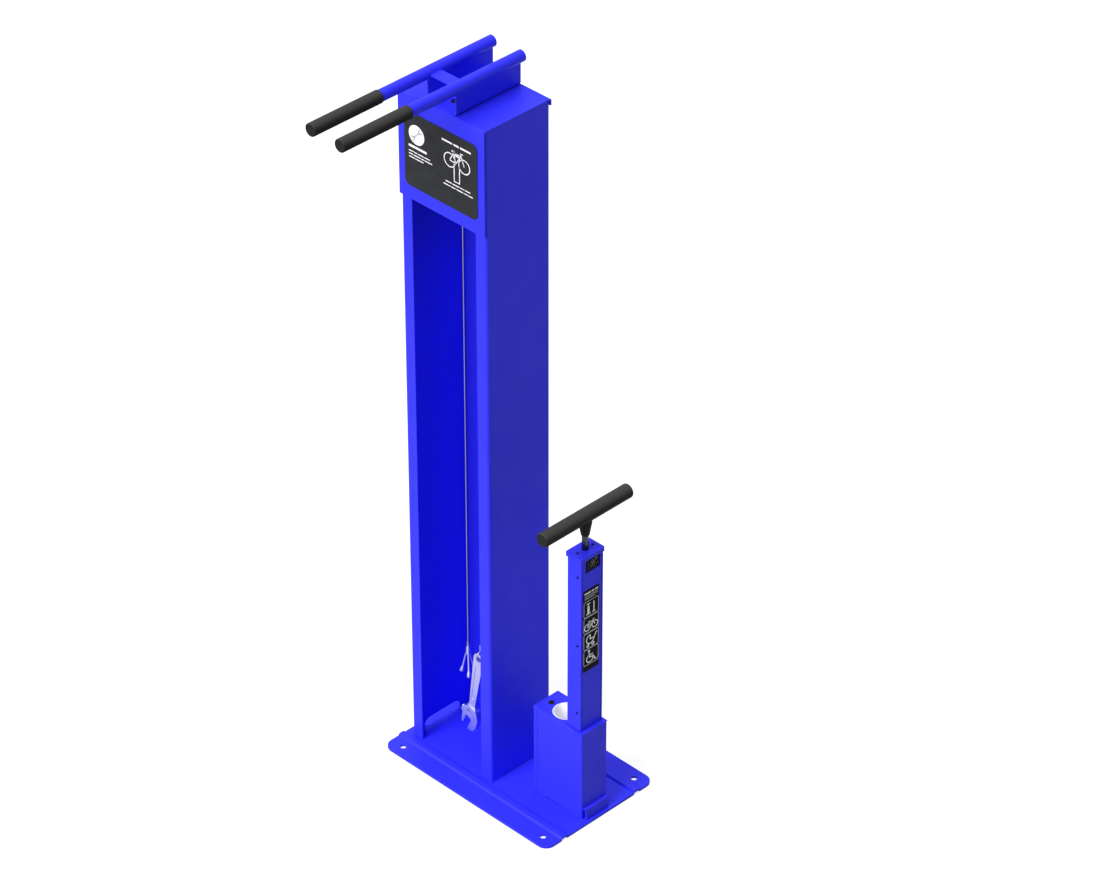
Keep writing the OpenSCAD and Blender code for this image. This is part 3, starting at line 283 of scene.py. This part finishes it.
def powder_coat(name, color, deep, worn, crevice_shade, roughness=0.42):
    """Powder coat: a fine orange peel and slow changes of tone and gloss, worn edges, and painted
    shade in corners and gaps.
    """
    m = Material(name, color, roughness, Specular_IOR_Level=0.12)
    tone = m.blend(m.spread(m.noise(size=0.35, detail=2.0), 0.0, 0.35), color, deep)
    coat = m.blend(m.edges(radius=0.0008, most=0.5), tone, worn)
    # The crevice colour is painted shade, laid where corners and gaps would be shaded.
    m.link(m.blend(m.painted_crevice_shade(reach=0.004, most=0.3), coat, crevice_shade), "Base Color")
    m.link(m.spread(m.noise(size=0.06, detail=4.0), roughness - 0.05, roughness + 0.07), "Roughness")
    m.bump(m.noise(size=0.0022, detail=2.0), distance=0.00003)
    return m.mat


def brushed_metal(name, color, roughness, stretch):
    """Metal with fine lines along its stretch, faint stains and bright edges."""
    m = Material(name, color, roughness, metallic=1.0)
    lines = m.noise(size=0.0006, roughness=0.6, stretch=stretch)
    m.link(m.spread(lines, roughness - 0.06, roughness + 0.1), "Roughness")
    stained = m.blend(m.spread(m.noise(size=0.02), 0.0, 0.3), color, scaled(color, 0.72))
    m.link(m.blend(m.edges(radius=0.0006, most=0.7), stained, scaled(color, 1.3)), "Base Color")
    m.bump(lines, distance=0.00001)
    return m.mat


def moulded(name, color, roughness, grain=0.0012, depth=0.00003, dust_and_sheen=None, **sockets):
    """Moulded plastic or rubber. Where a top colour is given, faces that look up take it: a painted
    sheen on the upper side, and a dusty top.
    """
    m = Material(name, color, roughness, **sockets)
    light = scaled(color, 1.35, added=0.004)
    body = m.blend(m.spread(m.noise(size=0.03), 0.0, 0.6), color, light)
    if dust_and_sheen:
        # Upper faces go lighter: painted highlight where light falls on top, and a dusty top.
        body = m.blend(m.upward(), body, dust_and_sheen)
    m.link(m.blend(m.edges(radius=0.0003, most=0.3), body, light), "Base Color")
    m.link(m.spread(m.noise(size=0.012), roughness - 0.06, roughness + 0.08), "Roughness")
    m.bump(m.noise(grain, detail=2.0), depth)
    return m.mat


def printed(name, color, roughness=0.5, **sockets):
    """A printed or coated face, nearly flat."""
    return moulded(name, color, roughness, grain=0.0016, depth=0.00001, **sockets)


def clear_glass(name):
    m = Material(name, (1, 1, 1, 1), 0.03, Transmission_Weight=1.0, IOR=1.1)
    m.bump(m.noise(size=0.02, detail=2.0), distance=0.00001)
    return m.mat


BLUE = (0.032, 0.034, 0.90, 1)
DEEP_BLUE = (0.027, 0.029, 0.84, 1)
WORN_BLUE = (0.085, 0.09, 0.95, 1)
# Painted shade colour for the blue coat's corners and gaps
CREVICE_SHADE_BLUE = (0.006, 0.006, 0.30, 1)
# Painted shade colour for the seam lines on the pump box
SEAM_SHADE_BLUE = (0.008, 0.008, 0.30, 1)
RUBBER_BLACK = (0.014, 0.014, 0.014, 1)
# Lighter grey for upper faces: painted sheen from the light above, and a dusty top
DUST_AND_SHEEN = (0.048, 0.048, 0.047, 1)
DULL = {"Specular_IOR_Level": 0.04}
DARK = {"Specular_IOR_Level": 0.015}

MATERIALS = {
    "blue_coat": powder_coat("blue_coat", BLUE, DEEP_BLUE, WORN_BLUE, CREVICE_SHADE_BLUE),
    # Dark lines of painted shade for the pump box's seams
    "seam_shade_blue": moulded("seam_shade_blue", SEAM_SHADE_BLUE, 0.5, **DULL),
    "zinc_steel": brushed_metal("zinc_steel", (0.62, 0.63, 0.66, 1), 0.32, stretch=(1, 1, 6)),
    "black_steel": moulded("black_steel", (0.006, 0.006, 0.02, 1), 0.45, **DULL),
    "sign_coat": printed("sign_coat", (0.024, 0.025, 0.029, 1), **DULL),
    "info_coat": printed("info_coat", (0.008, 0.009, 0.010, 1), 0.45, **DARK),
    # The rubber and the handle take a painted top sheen on their upper faces.
    "rubber": moulded("rubber", RUBBER_BLACK, 0.62, grain=0.0009, depth=0.00006, dust_and_sheen=DUST_AND_SHEEN, **DULL),
    "handle_plastic": moulded("handle_plastic", RUBBER_BLACK, 0.5, dust_and_sheen=DUST_AND_SHEEN, **DULL),
    "black_plastic": moulded("black_plastic", (0.012, 0.012, 0.012, 1), 0.42, **DARK),
    "wire_steel": brushed_metal("wire_steel", (0.36, 0.37, 0.42, 1), 0.34, stretch=(4, 4, 1)),
    # The chrome's blue tinge is painted reflection of the blue post around the tool.
    "tool_chrome": brushed_metal("tool_chrome", (0.50, 0.50, 0.82, 1), 0.40, stretch=(1, 6, 6)),
    "barrel_alloy": brushed_metal("barrel_alloy", (0.7, 0.7, 0.72, 1), 0.3, stretch=(6, 6, 1)),
    "brass": brushed_metal("brass", (0.62, 0.45, 0.18, 1), 0.3, stretch=(1, 6, 1)),
    "seal_rubber": moulded("seal_rubber", (0.015, 0.015, 0.016, 1), 0.35),
    "rod_steel": brushed_metal("rod_steel", (0.055, 0.06, 0.072, 1), 0.22, stretch=(6, 6, 1)),
    "dial_white": moulded("dial_white", (0.009, 0.009, 0.010, 1), 0.45, **DARK),
    "needle_red": moulded("needle_red", (0.10, 0.02, 0.02, 1), 0.4),
    "white_plastic": moulded("white_plastic", (0.97, 0.97, 0.97, 1), 0.4),
    "clear_glass": clear_glass("clear_glass"),
    "print_white": printed("print_white", srgb(249, 250, 252)),
    "print_grey": printed("print_grey", srgb(188, 190, 198)),
    "print_pale": printed("print_pale", srgb(186, 188, 194)),
    "print_dim": printed("print_dim", srgb(48, 48, 51)),
}
HANDLE_NODES = ("handle_bar", "handle_hub")


def dress(obj, material):
    obj.data.materials.clear()
    obj.data.materials.append(MATERIALS[material])


def dress_nodes():
    """Every CAD node takes its record slot's material. The pump's handle has one of its own."""
    for part in frame["record"]["subparts"]:
        name = part["node"]
        dress(NODES[name], "handle_plastic" if name in HANDLE_NODES else part["material_slot"])


dress_nodes()
for rope in ropes:
    dress(rope, "wire_steel")


# Small bevels on sharp edges, with their widths in millimetres
BEVELS = {
    "base_plate": 0.6, "post": 0.3, "head_cover": 0.35, "sign_panel": 0.2, "arm_bracket": 0.35,
    "arm_bridge": 0.4, "pump_column": 0.25, "column_panel": 0.2, "column_cap": 0.4, "box_side": 0.8,
    "box_cover": 0.8, "box_lid": 0.3, "foot_bracket": 0.3, "wrench_body": 0.7, "wrench_jaw": 0.6,
    "instruction_panel": 0.15, "mounting_plate": 0.4, "tripod_wrench": 0.2, "stow_cup": 0.3,
}
JOIN_DISTANCE = 1e-5
FLAT_ANGLE = 0.4
BEVEL_ANGLE = 40
BEVEL_SEGMENTS = 2


def bevel_nodes():
    """Joins each node's triangles into flat faces first, so that only real edges get a bevel."""
    for name, width in BEVELS.items():
        obj = NODES[name]
        weld = obj.modifiers.new("weld", "WELD")
        weld.merge_threshold = JOIN_DISTANCE
        flat = obj.modifiers.new("flat", "DECIMATE")
        flat.decimate_type = "DISSOLVE"
        flat.angle_limit = math.radians(FLAT_ANGLE)
        bevel = obj.modifiers.new("bevel", "BEVEL")
        bevel.width = width * MM
        bevel.segments = BEVEL_SEGMENTS
        bevel.limit_method = "ANGLE"
        bevel.angle_limit = math.radians(BEVEL_ANGLE)
        bevel.harden_normals = True
        bevel.use_clamp_overlap = True


bevel_nodes()


# Flat prints: outlines in millimetres on a face, laid a little above it
PRINT_TOP = 0.06
PRINT_FOOT = 0.01
DISC_STEPS = 40
CORNER_STEPS = 6
LEAST_MITRE = 0.4
UP = Vector((0, 0, 1))
TO_RIGHT = Vector((1, 0, 0))
TO_REAR = Vector((0, 1, 0))


def on_circle(x, y, r, degrees):
    angle = math.radians(degrees)
    return (x + r * math.cos(angle), y + r * math.sin(angle))


class Print:
    """Collects flat shapes on an upright face. right is the way that their x runs."""

    def __init__(self, origin, right):
        self.origin, self.right = origin, right
        self.out = right.cross(UP)
        self.bm = bmesh.new()

    def point(self, x, y, lift):
        return self.origin + (self.right * x + UP * y + self.out * lift) * MM

    def polygon(self, points):
        top = [self.bm.verts.new(self.point(*p, PRINT_TOP)) for p in points]
        low = [self.bm.verts.new(self.point(*p, PRINT_FOOT)) for p in points]
        self.bm.faces.new(top)
        self.bm.faces.new(reversed(low))
        for i in range(len(top)):
            j = (i + 1) % len(top)
            self.bm.faces.new((top[j], top[i], low[i], low[j]))

    def bar(self, x, y, w, h):
        self.polygon([(x, y), (x + w, y), (x + w, y + h), (x, y + h)])

    def row(self, x, y, widths, h, gap=0.0):
        """Bars of one height side by side, from x on, as words stand in a line."""
        for w in widths:
            self.bar(x, y, w, h)
            x += w + gap

    def disc(self, x, y, r):
        self.polygon([on_circle(x, y, r, 360 * k / DISC_STEPS) for k in range(DISC_STEPS)])

    def stroke(self, points, width, closed=False):
        """A line of even width through points."""
        places = [Vector(p) for p in points]
        count = len(places)
        sides = []
        for i, place in enumerate(places):
            before = places[i - 1] if i or closed else place
            after = places[(i + 1) % count] if i + 1 < count or closed else place
            coming = (place - before if place != before else after - place).normalized()
            leaving = (after - place if place != after else place - before).normalized()
            turn = coming + leaving
            normal = Vector((-turn.y, turn.x)).normalized()
            reach = width / 2 / max(LEAST_MITRE, normal.dot(Vector((-coming.y, coming.x))))
            sides.append((place + normal * reach, place - normal * reach))
        for i in range(count if closed else count - 1):
            (left, right), (next_left, next_right) = sides[i], sides[(i + 1) % count]
            self.polygon([left, right, next_right, next_left])

    def arc(self, x, y, r, start, end, width, steps):
        closed = abs(end - start) >= 360
        points = [on_circle(x, y, r, start + (end - start) * k / steps)
                  for k in range(steps if closed else steps + 1)]
        self.stroke(points, width, closed)

    def rounded(self, x, y, w, h, r, width):
        """The outline of a rounded rectangle."""
        corners = ((x + w - r, y + h - r), (x + r, y + h - r), (x + r, y + r), (x + w - r, y + r))
        points = [on_circle(*centre, r, 90 * (i + k / CORNER_STEPS))
                  for i, centre in enumerate(corners) for k in range(CORNER_STEPS + 1)]
        self.stroke(points, width, closed=True)

    def finish(self, name, slot, material):
        dress(mesh_object(name, self.bm, "station", smooth=False), material)


# A plain bicycle, in shares of its length from its middle at the height of the wheels' centres
WHEEL_R_SHARE = 0.215
WHEEL_STEPS = 32
CRANK_SHARES = (-0.04, -0.02)
SEAT_SHARES = (-0.13, 0.27)
HEAD_SHARES = (0.17, 0.29)
SADDLE_SHARES = ((-0.20, 0.32), (-0.08, 0.32))
SADDLE_FOOT_SHARES = (-0.142, 0.32)
SADDLE_LINE_SHARE = 1.6
BARS_SHARES = ((0.15, 0.36), (0.24, 0.37))


def draw_bicycle(sheet, x, y, size, width):
    """A bicycle size long, of lines as wide as width."""
    def at(shares):
        return (x + shares[0] * size, y + shares[1] * size)
    rear, front = at((WHEEL_R_SHARE - 0.5, 0)), at((0.5 - WHEEL_R_SHARE, 0))
    crank, seat, head = at(CRANK_SHARES), at(SEAT_SHARES), at(HEAD_SHARES)
    for centre in (rear, front):
        sheet.arc(*centre, WHEEL_R_SHARE * size, 0, 360, width, WHEEL_STEPS)
    for line in ((rear, crank, head), (rear, seat, head), (seat, crank), (head, front)):
        sheet.stroke(line, width)
    sheet.stroke([at(place) for place in SADDLE_SHARES], width * SADDLE_LINE_SHARE)
    sheet.stroke([seat, at(SADDLE_FOOT_SHARES)], width)
    sheet.stroke([head] + [at(place) for place in BARS_SHARES], width)


# The sign, from the middle of its panel. A row has its corner, its bars' widths and height, and a gap.
SIGN_ROWS = (
    (-78, 5.5, (44,), 4.6, 0),
    (-78, -3.5, (12, 6, 15, 14), 1.9, 1.7),
    (-78, -9.5, (10, 17, 6, 19), 1.9, 1.7),
    (-78, -15.5, (14, 20), 1.9, 1.7),
    (4, 52, (25, 13, 26), 3.6, 3),
    (12, -26, (15, 17, 9, 14), 1.9, 1.7),
    (6, -33, (18, 10, 17, 9, 11), 1.9, 1.7),
)
SIGN_DISC = (-58.4, 33.5)
SIGN_DISC_R = 19
SIGN_BICYCLE = (40, 20)
SIGN_BICYCLE_W = 62
SIGN_LINE = 2
STAND_POST = ((33, 16), (33, -18), (46, -18), (46, 16))
STAND_CLAMP = ((32, 42), (36, 34), (46, 34))
STAND_CLAMP_LINE = 3
SPANNER_REACH, SPANNER_SHAFT_W = 8, 3.4
SPANNER_HEAD_REACH = SPANNER_REACH * 1.2
SPANNER_HEAD_R, SPANNER_HEAD_LINE, SPANNER_HEAD_STEPS = 4, 2.6, 16
SPANNER_HEAD_SWEEP = 270


def make_sign():
    """Plain bars and pictograms: a spanner in a disc, and a bicycle held on a stand."""
    lo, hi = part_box("sign_panel")
    origin = Vector(((lo.x + hi.x) / 2, lo.y, (lo.z + hi.z) / 2))
    sheet = Print(origin, TO_RIGHT)
    sheet.disc(*SIGN_DISC, SIGN_DISC_R)
    for row in SIGN_ROWS:
        sheet.row(*row)
    draw_bicycle(sheet, *SIGN_BICYCLE, SIGN_BICYCLE_W, SIGN_LINE)
    sheet.stroke(STAND_POST, SIGN_LINE)
    sheet.stroke(STAND_CLAMP, STAND_CLAMP_LINE)
    sheet.finish("sign_print", "sign_coat", "print_white")
    x, y = SIGN_DISC
    mark = Print(origin + sheet.out * PRINT_TOP * MM, TO_RIGHT)
    mark.stroke([(x - SPANNER_REACH, y - SPANNER_REACH), (x + SPANNER_REACH, y + SPANNER_REACH)],
                SPANNER_SHAFT_W)
    for reach, start in ((SPANNER_HEAD_REACH, 90), (-SPANNER_HEAD_REACH, -90)):
        mark.arc(x + reach, y + reach, SPANNER_HEAD_R, start, start + SPANNER_HEAD_SWEEP,
                 SPANNER_HEAD_LINE, SPANNER_HEAD_STEPS)
    mark.finish("sign_mark", "sign_coat", "print_pale")


# The instruction panel, from the middle of its lower edge. Its title is a row, and its lines are bars.
INFO_TITLE = (-17, 171.5, (15.5, 5.5, 8), 2.8, 2.5)
INFO_LINES = ((-17, 167.2, 34, 1), (-17, 163.8, 34, 1), (-17, 160.4, 27, 1))
CELL_W, CELL_H, CELL_R = 36.4, 34.2, 3.6
CELL_FOOT, CELL_PITCH = 13.5, 35.7
CELL_LINE = 1.1

# Its pictograms, from the middle of their frame's lower edge. A bar has its corner, width and height,
# and an arc its centre, radius, start, end, line and steps.
CHAIR_WHEEL = (-3, 11.5, 8, 110, 375, 2.2, 28)
CHAIR_SITTER = ((-4.5, 25), (-3, 14), (6, 14), (10, 5), (13.5, 5))
CHAIR_SITTER_LINE = 2.4
CHAIR_ARM = ((-3.6, 19.5), (5, 19.5))
CHAIR_ARM_LINE = 2
CHAIR_HEAD, CHAIR_HEAD_R = (-5, 28.5), 2.7
STROLLER_WHEELS = ((-8, 6, 2.6, 0, 360, 2, 20), (5, 6, 2.6, 0, 360, 2, 20))
STROLLER_HOOD = (-2, 19, 9.5, 90, 360, 2.2, 28)
STROLLER_FRAME = ((-2, 28.5), (-2, 19), (8, 19), (13, 27.5), (15.5, 27.5))
STROLLER_FRAME_LINE = 2.2
CYCLE_RISE, CYCLE_W, CYCLE_LINE = 12, 33, 2
PUMP_BARS = ((-9.5, 7, 5, 16), (-7.5, 22, 1.2, 6), (-11.5, 27, 9, 2), (-12.5, 4.5, 11, 2))
PUMP_POST_BARS = ((5.5, 7, 2.4, 21), (3, 4.5, 7.4, 2))


def draw_wheelchair(sheet):
    sheet.arc(*CHAIR_WHEEL)
    sheet.stroke(CHAIR_SITTER, CHAIR_SITTER_LINE)
    sheet.stroke(CHAIR_ARM, CHAIR_ARM_LINE)
    sheet.disc(*CHAIR_HEAD, CHAIR_HEAD_R)


def draw_stroller(sheet):
    for wheel in STROLLER_WHEELS:
        sheet.arc(*wheel)
    sheet.arc(*STROLLER_HOOD)
    sheet.stroke(STROLLER_FRAME, STROLLER_FRAME_LINE)


def draw_cycle(sheet):
    draw_bicycle(sheet, 0, CYCLE_RISE, CYCLE_W, CYCLE_LINE)


def draw_pump(sheet):
    """A floor pump's barrel, rod, handle and foot, and a thin post on a foot beside it."""
    for bar in PUMP_BARS + PUMP_POST_BARS:
        sheet.bar(*bar)


def make_instructions():
    """Bars for the words, and under them four framed pictograms, drawn from the lowest one up."""
    lo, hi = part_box("instruction_panel")
    place = Vector((hi.x, (lo.y + hi.y) / 2, lo.z))
    sheet, frames = Print(place, TO_REAR), Print(place, TO_REAR)
    sheet.row(*INFO_TITLE)
    for line in INFO_LINES:
        frames.bar(*line)
    for i, draw in enumerate((draw_wheelchair, draw_stroller, draw_cycle, draw_pump)):
        foot = CELL_FOOT + CELL_PITCH * i
        frames.rounded(-CELL_W / 2, foot, CELL_W, CELL_H, CELL_R, CELL_LINE)
        sheet.origin = place + UP * foot * MM
        draw(sheet)
    sheet.finish("instruction_print", "info_coat", "print_white")
    frames.finish("instruction_frames", "info_coat", "print_grey")


# Lines of painted shade on the pump box's front, where the real gap is too thin to show its shade
SEAM_W = 1.1
LIP_INSET = 19.2
LIP_LINE = 9


def make_seam_shades():
    """Painted shade along the end of the left side's flange against the cover, and along the end of
    the lid's lip.
    """
    lo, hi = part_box("box_side")
    lid_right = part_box("box_lid")[1].x
    height = (hi.z - lo.z) / MM
    sheet = Print(Vector((hi.x, lo.y, lo.z)), TO_RIGHT)
    sheet.bar(-SEAM_W / 2, 0, SEAM_W, height)
    sheet.bar((lid_right - hi.x) / MM - LIP_INSET, height - LIP_LINE, SEAM_W, LIP_LINE)
    sheet.finish("box_seam_shade_lines", "blue_coat", "seam_shade_blue")


# The gauge's ticks. They end at a share of the dial's radius, and start at a share of that.
TICKS = 25
TICK_FIRST, TICK_SWEEP = 240, 300
TICK_END_SHARE = 0.92
LONG_TICK_EVERY = 4
LONG_TICK_SHARE, LONG_TICK_W = 0.8, 0.6
SHORT_TICK_SHARE, SHORT_TICK_W = 0.9, 0.3


def make_dial():
    """Plain ticks, of which every fourth is longer and wider."""
    lo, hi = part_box("gauge_dial")
    sheet = Print(Vector((hi.x, (lo.y + hi.y) / 2, (lo.z + hi.z) / 2)), TO_REAR)
    end = (hi.y - lo.y) / 2 / MM * TICK_END_SHARE
    for i in range(TICKS):
        degrees = TICK_FIRST - TICK_SWEEP * i / (TICKS - 1)
        share, width = LONG_TICK_SHARE, LONG_TICK_W
        if i % LONG_TICK_EVERY:
            share, width = SHORT_TICK_SHARE, SHORT_TICK_W
        sheet.stroke([on_circle(0, 0, end * share, degrees), on_circle(0, 0, end, degrees)], width)
    sheet.finish("gauge_ticks", "dial_white", "print_dim")


make_sign()
make_instructions()
make_seam_shades()
make_dial()


# Weld seams
WELD_STEP = 2.2 * MM
WELD_SIDES = 10
WELD_WAVES = ((0.1, 2.1), (0.05, 0.7))
POST_WELD_R, POST_WELD_RISE = 1.6 * MM, 0.2 * MM
POST_WELD_INSET, POST_WELD_END = 6 * MM, 34 * MM
ARM_WELD_R, ARM_WELD_L = 1.3 * MM, 26 * MM
ARM_WELD_INSET, ARM_WELD_SIDE, ARM_WELD_DROP = 1.5 * MM, 1.9 * MM, 1.2 * MM
ARM_WELD_FRONT, ARM_WELD_MIDDLE, ARM_WELD_REAR = 8 * MM, 12 * MM, 34 * MM
BRIDGE_WELD_R, BRIDGE_WELD_INSET, BRIDGE_WELD_END = 1.2 * MM, 0.4 * MM, 1 * MM


def add_weld(bm, start, end, radius):
    """A weld bead from start to end, whose width rises and falls along it."""
    count = max(2, round((end - start).length / WELD_STEP))
    rings = []
    for i in range(count + 1):
        uneven = 1 + sum(share * math.sin(i * turn) for share, turn in WELD_WAVES)
        rings.append(add_ring(bm, start.lerp(end, i / count), end - start,
                              [radius * uneven] * WELD_SIDES))
    add_skin(bm, rings)


def add_weld_along_y(bm, x, y0, y1, z, radius):
    add_weld(bm, Vector((x, y0, z)), Vector((x, y1, z)), radius)


def make_welds():
    """Beads at the post's foot, between the arms and their bracket, and on the cross bar's ends."""
    bm = bmesh.new()
    lo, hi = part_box("post")
    for x in (lo.x, hi.x):
        for y0, y1 in ((lo.y + POST_WELD_INSET, lo.y + POST_WELD_END),
                       (hi.y - POST_WELD_END, hi.y - POST_WELD_INSET)):
            add_weld_along_y(bm, x, y0, y1, lo.z + POST_WELD_RISE, POST_WELD_R)
    lo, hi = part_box("arm_bracket")
    for wall in (lo.x + ARM_WELD_INSET, hi.x - ARM_WELD_INSET):
        for y0 in (lo.y + ARM_WELD_FRONT, (lo.y + hi.y) / 2 - ARM_WELD_MIDDLE, hi.y - ARM_WELD_REAR):
            for x in (wall - ARM_WELD_SIDE, wall + ARM_WELD_SIDE):
                add_weld_along_y(bm, x, y0, y0 + ARM_WELD_L, hi.z - ARM_WELD_DROP, ARM_WELD_R)
    lo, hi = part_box("arm_bridge")
    for x in (lo.x + BRIDGE_WELD_INSET, hi.x - BRIDGE_WELD_INSET):
        add_weld_along_y(bm, x, lo.y + BRIDGE_WELD_END, hi.y - BRIDGE_WELD_END, hi.z, BRIDGE_WELD_R)
    dress(mesh_object("weld_seams", bm, "station"), "blue_coat")


make_welds()


# Floor, world and lamps
WHITE = (1, 1, 1, 1)
FLOOR_SIZE = 30
FLOOR_DROP = 0.0005
FLOOR_PAINT = (0.34, 0.34, 0.34, 1)
FLOOR_GLOW = 0.76
AMBIENT = 0.24
SEEN_SKY = 1.0
KEY_STRENGTH = 3.8
KEY_TOWARDS = Vector((0.05, 0.80, -0.60))
KEY_ANGLE = 40
TOP_STRENGTH = 1.45
TOP_TOWARDS = Vector((0.22, -0.20, -0.95))
TOP_ANGLE = 60
LAMP_DISTANCE = 5


def seen_directly(tree):
    """1 for camera, glossy and transmission rays, 0 for the rays that light the object."""
    path = tree.nodes.new("ShaderNodeLightPath")
    seen = path.outputs["Is Camera Ray"]
    for name in ("Is Glossy Ray", "Is Transmission Ray"):
        higher = tree.nodes.new("ShaderNodeMath")
        higher.operation = "MAXIMUM"
        tree.links.new(seen, higher.inputs[0])
        tree.links.new(path.outputs[name], higher.inputs[1])
        seen = higher.outputs[0]
    return seen


def floor_material(name, paint, glow):
    """A surface that looks white to the camera and to reflections, and keeps a soft shadow."""
    mat = bpy.data.materials.new(name)
    mat.use_nodes = True
    tree = mat.node_tree
    tree.nodes.clear()
    out = tree.nodes.new("ShaderNodeOutputMaterial")
    diffuse = tree.nodes.new("ShaderNodeBsdfDiffuse")
    diffuse.inputs["Color"].default_value = paint
    emit = tree.nodes.new("ShaderNodeEmission")
    emit.inputs["Color"].default_value = WHITE
    strength = tree.nodes.new("ShaderNodeMath")
    strength.operation = "MULTIPLY"
    tree.links.new(seen_directly(tree), strength.inputs[0])
    strength.inputs[1].default_value = glow
    tree.links.new(strength.outputs[0], emit.inputs["Strength"])
    add = tree.nodes.new("ShaderNodeAddShader")
    tree.links.new(diffuse.outputs[0], add.inputs[0])
    tree.links.new(emit.outputs[0], add.inputs[1])
    tree.links.new(add.outputs[0], out.inputs["Surface"])
    return mat


def make_floor():
    bm = bmesh.new()
    corners = [bm.verts.new((x * FLOOR_SIZE, y * FLOOR_SIZE, -FLOOR_DROP))
               for x, y in ((-1, -1), (1, -1), (1, 1), (-1, 1))]
    bm.faces.new(corners)
    data = bpy.data.meshes.new("floor")
    bm.to_mesh(data)
    bm.free()
    floor = bpy.data.objects.new("floor", data)
    bpy.context.scene.collection.objects.link(floor)
    data.materials.append(floor_material("floor_white", FLOOR_PAINT, FLOOR_GLOW))


def make_world():
    """Soft even light on the object, and white where the camera or a reflection sees it."""
    world = bpy.data.worlds.new("studio")
    bpy.context.scene.world = world
    world.use_nodes = True
    tree = world.node_tree
    tree.nodes.clear()
    out = tree.nodes.new("ShaderNodeOutputWorld")
    mix = tree.nodes.new("ShaderNodeMixShader")
    tree.links.new(seen_directly(tree), mix.inputs[0])
    for index, level in ((1, AMBIENT), (2, SEEN_SKY)):
        light = tree.nodes.new("ShaderNodeBackground")
        light.inputs["Color"].default_value = WHITE
        light.inputs["Strength"].default_value = level
        tree.links.new(light.outputs[0], mix.inputs[index])
    tree.links.new(mix.outputs[0], out.inputs["Surface"])


def make_lamp(name, strength, towards, angle):
    """A broad, far light. angle is the width in degrees from which it comes."""
    data = bpy.data.lights.new(name, "SUN")
    data.energy = strength
    data.angle = math.radians(angle)
    lamp = bpy.data.objects.new(name, data)
    lamp.rotation_mode = "QUATERNION"
    lamp.rotation_quaternion = towards.to_track_quat("-Z", "Y")
    lamp.location = -towards * LAMP_DISTANCE
    bpy.context.scene.collection.objects.link(lamp)


make_floor()
make_world()
make_lamp("key", KEY_STRENGTH, KEY_TOWARDS, KEY_ANGLE)
make_lamp("top", TOP_STRENGTH, TOP_TOWARDS, TOP_ANGLE)
bpy.context.scene.view_settings.view_transform = "Standard"

bpy.context.view_layer.update()
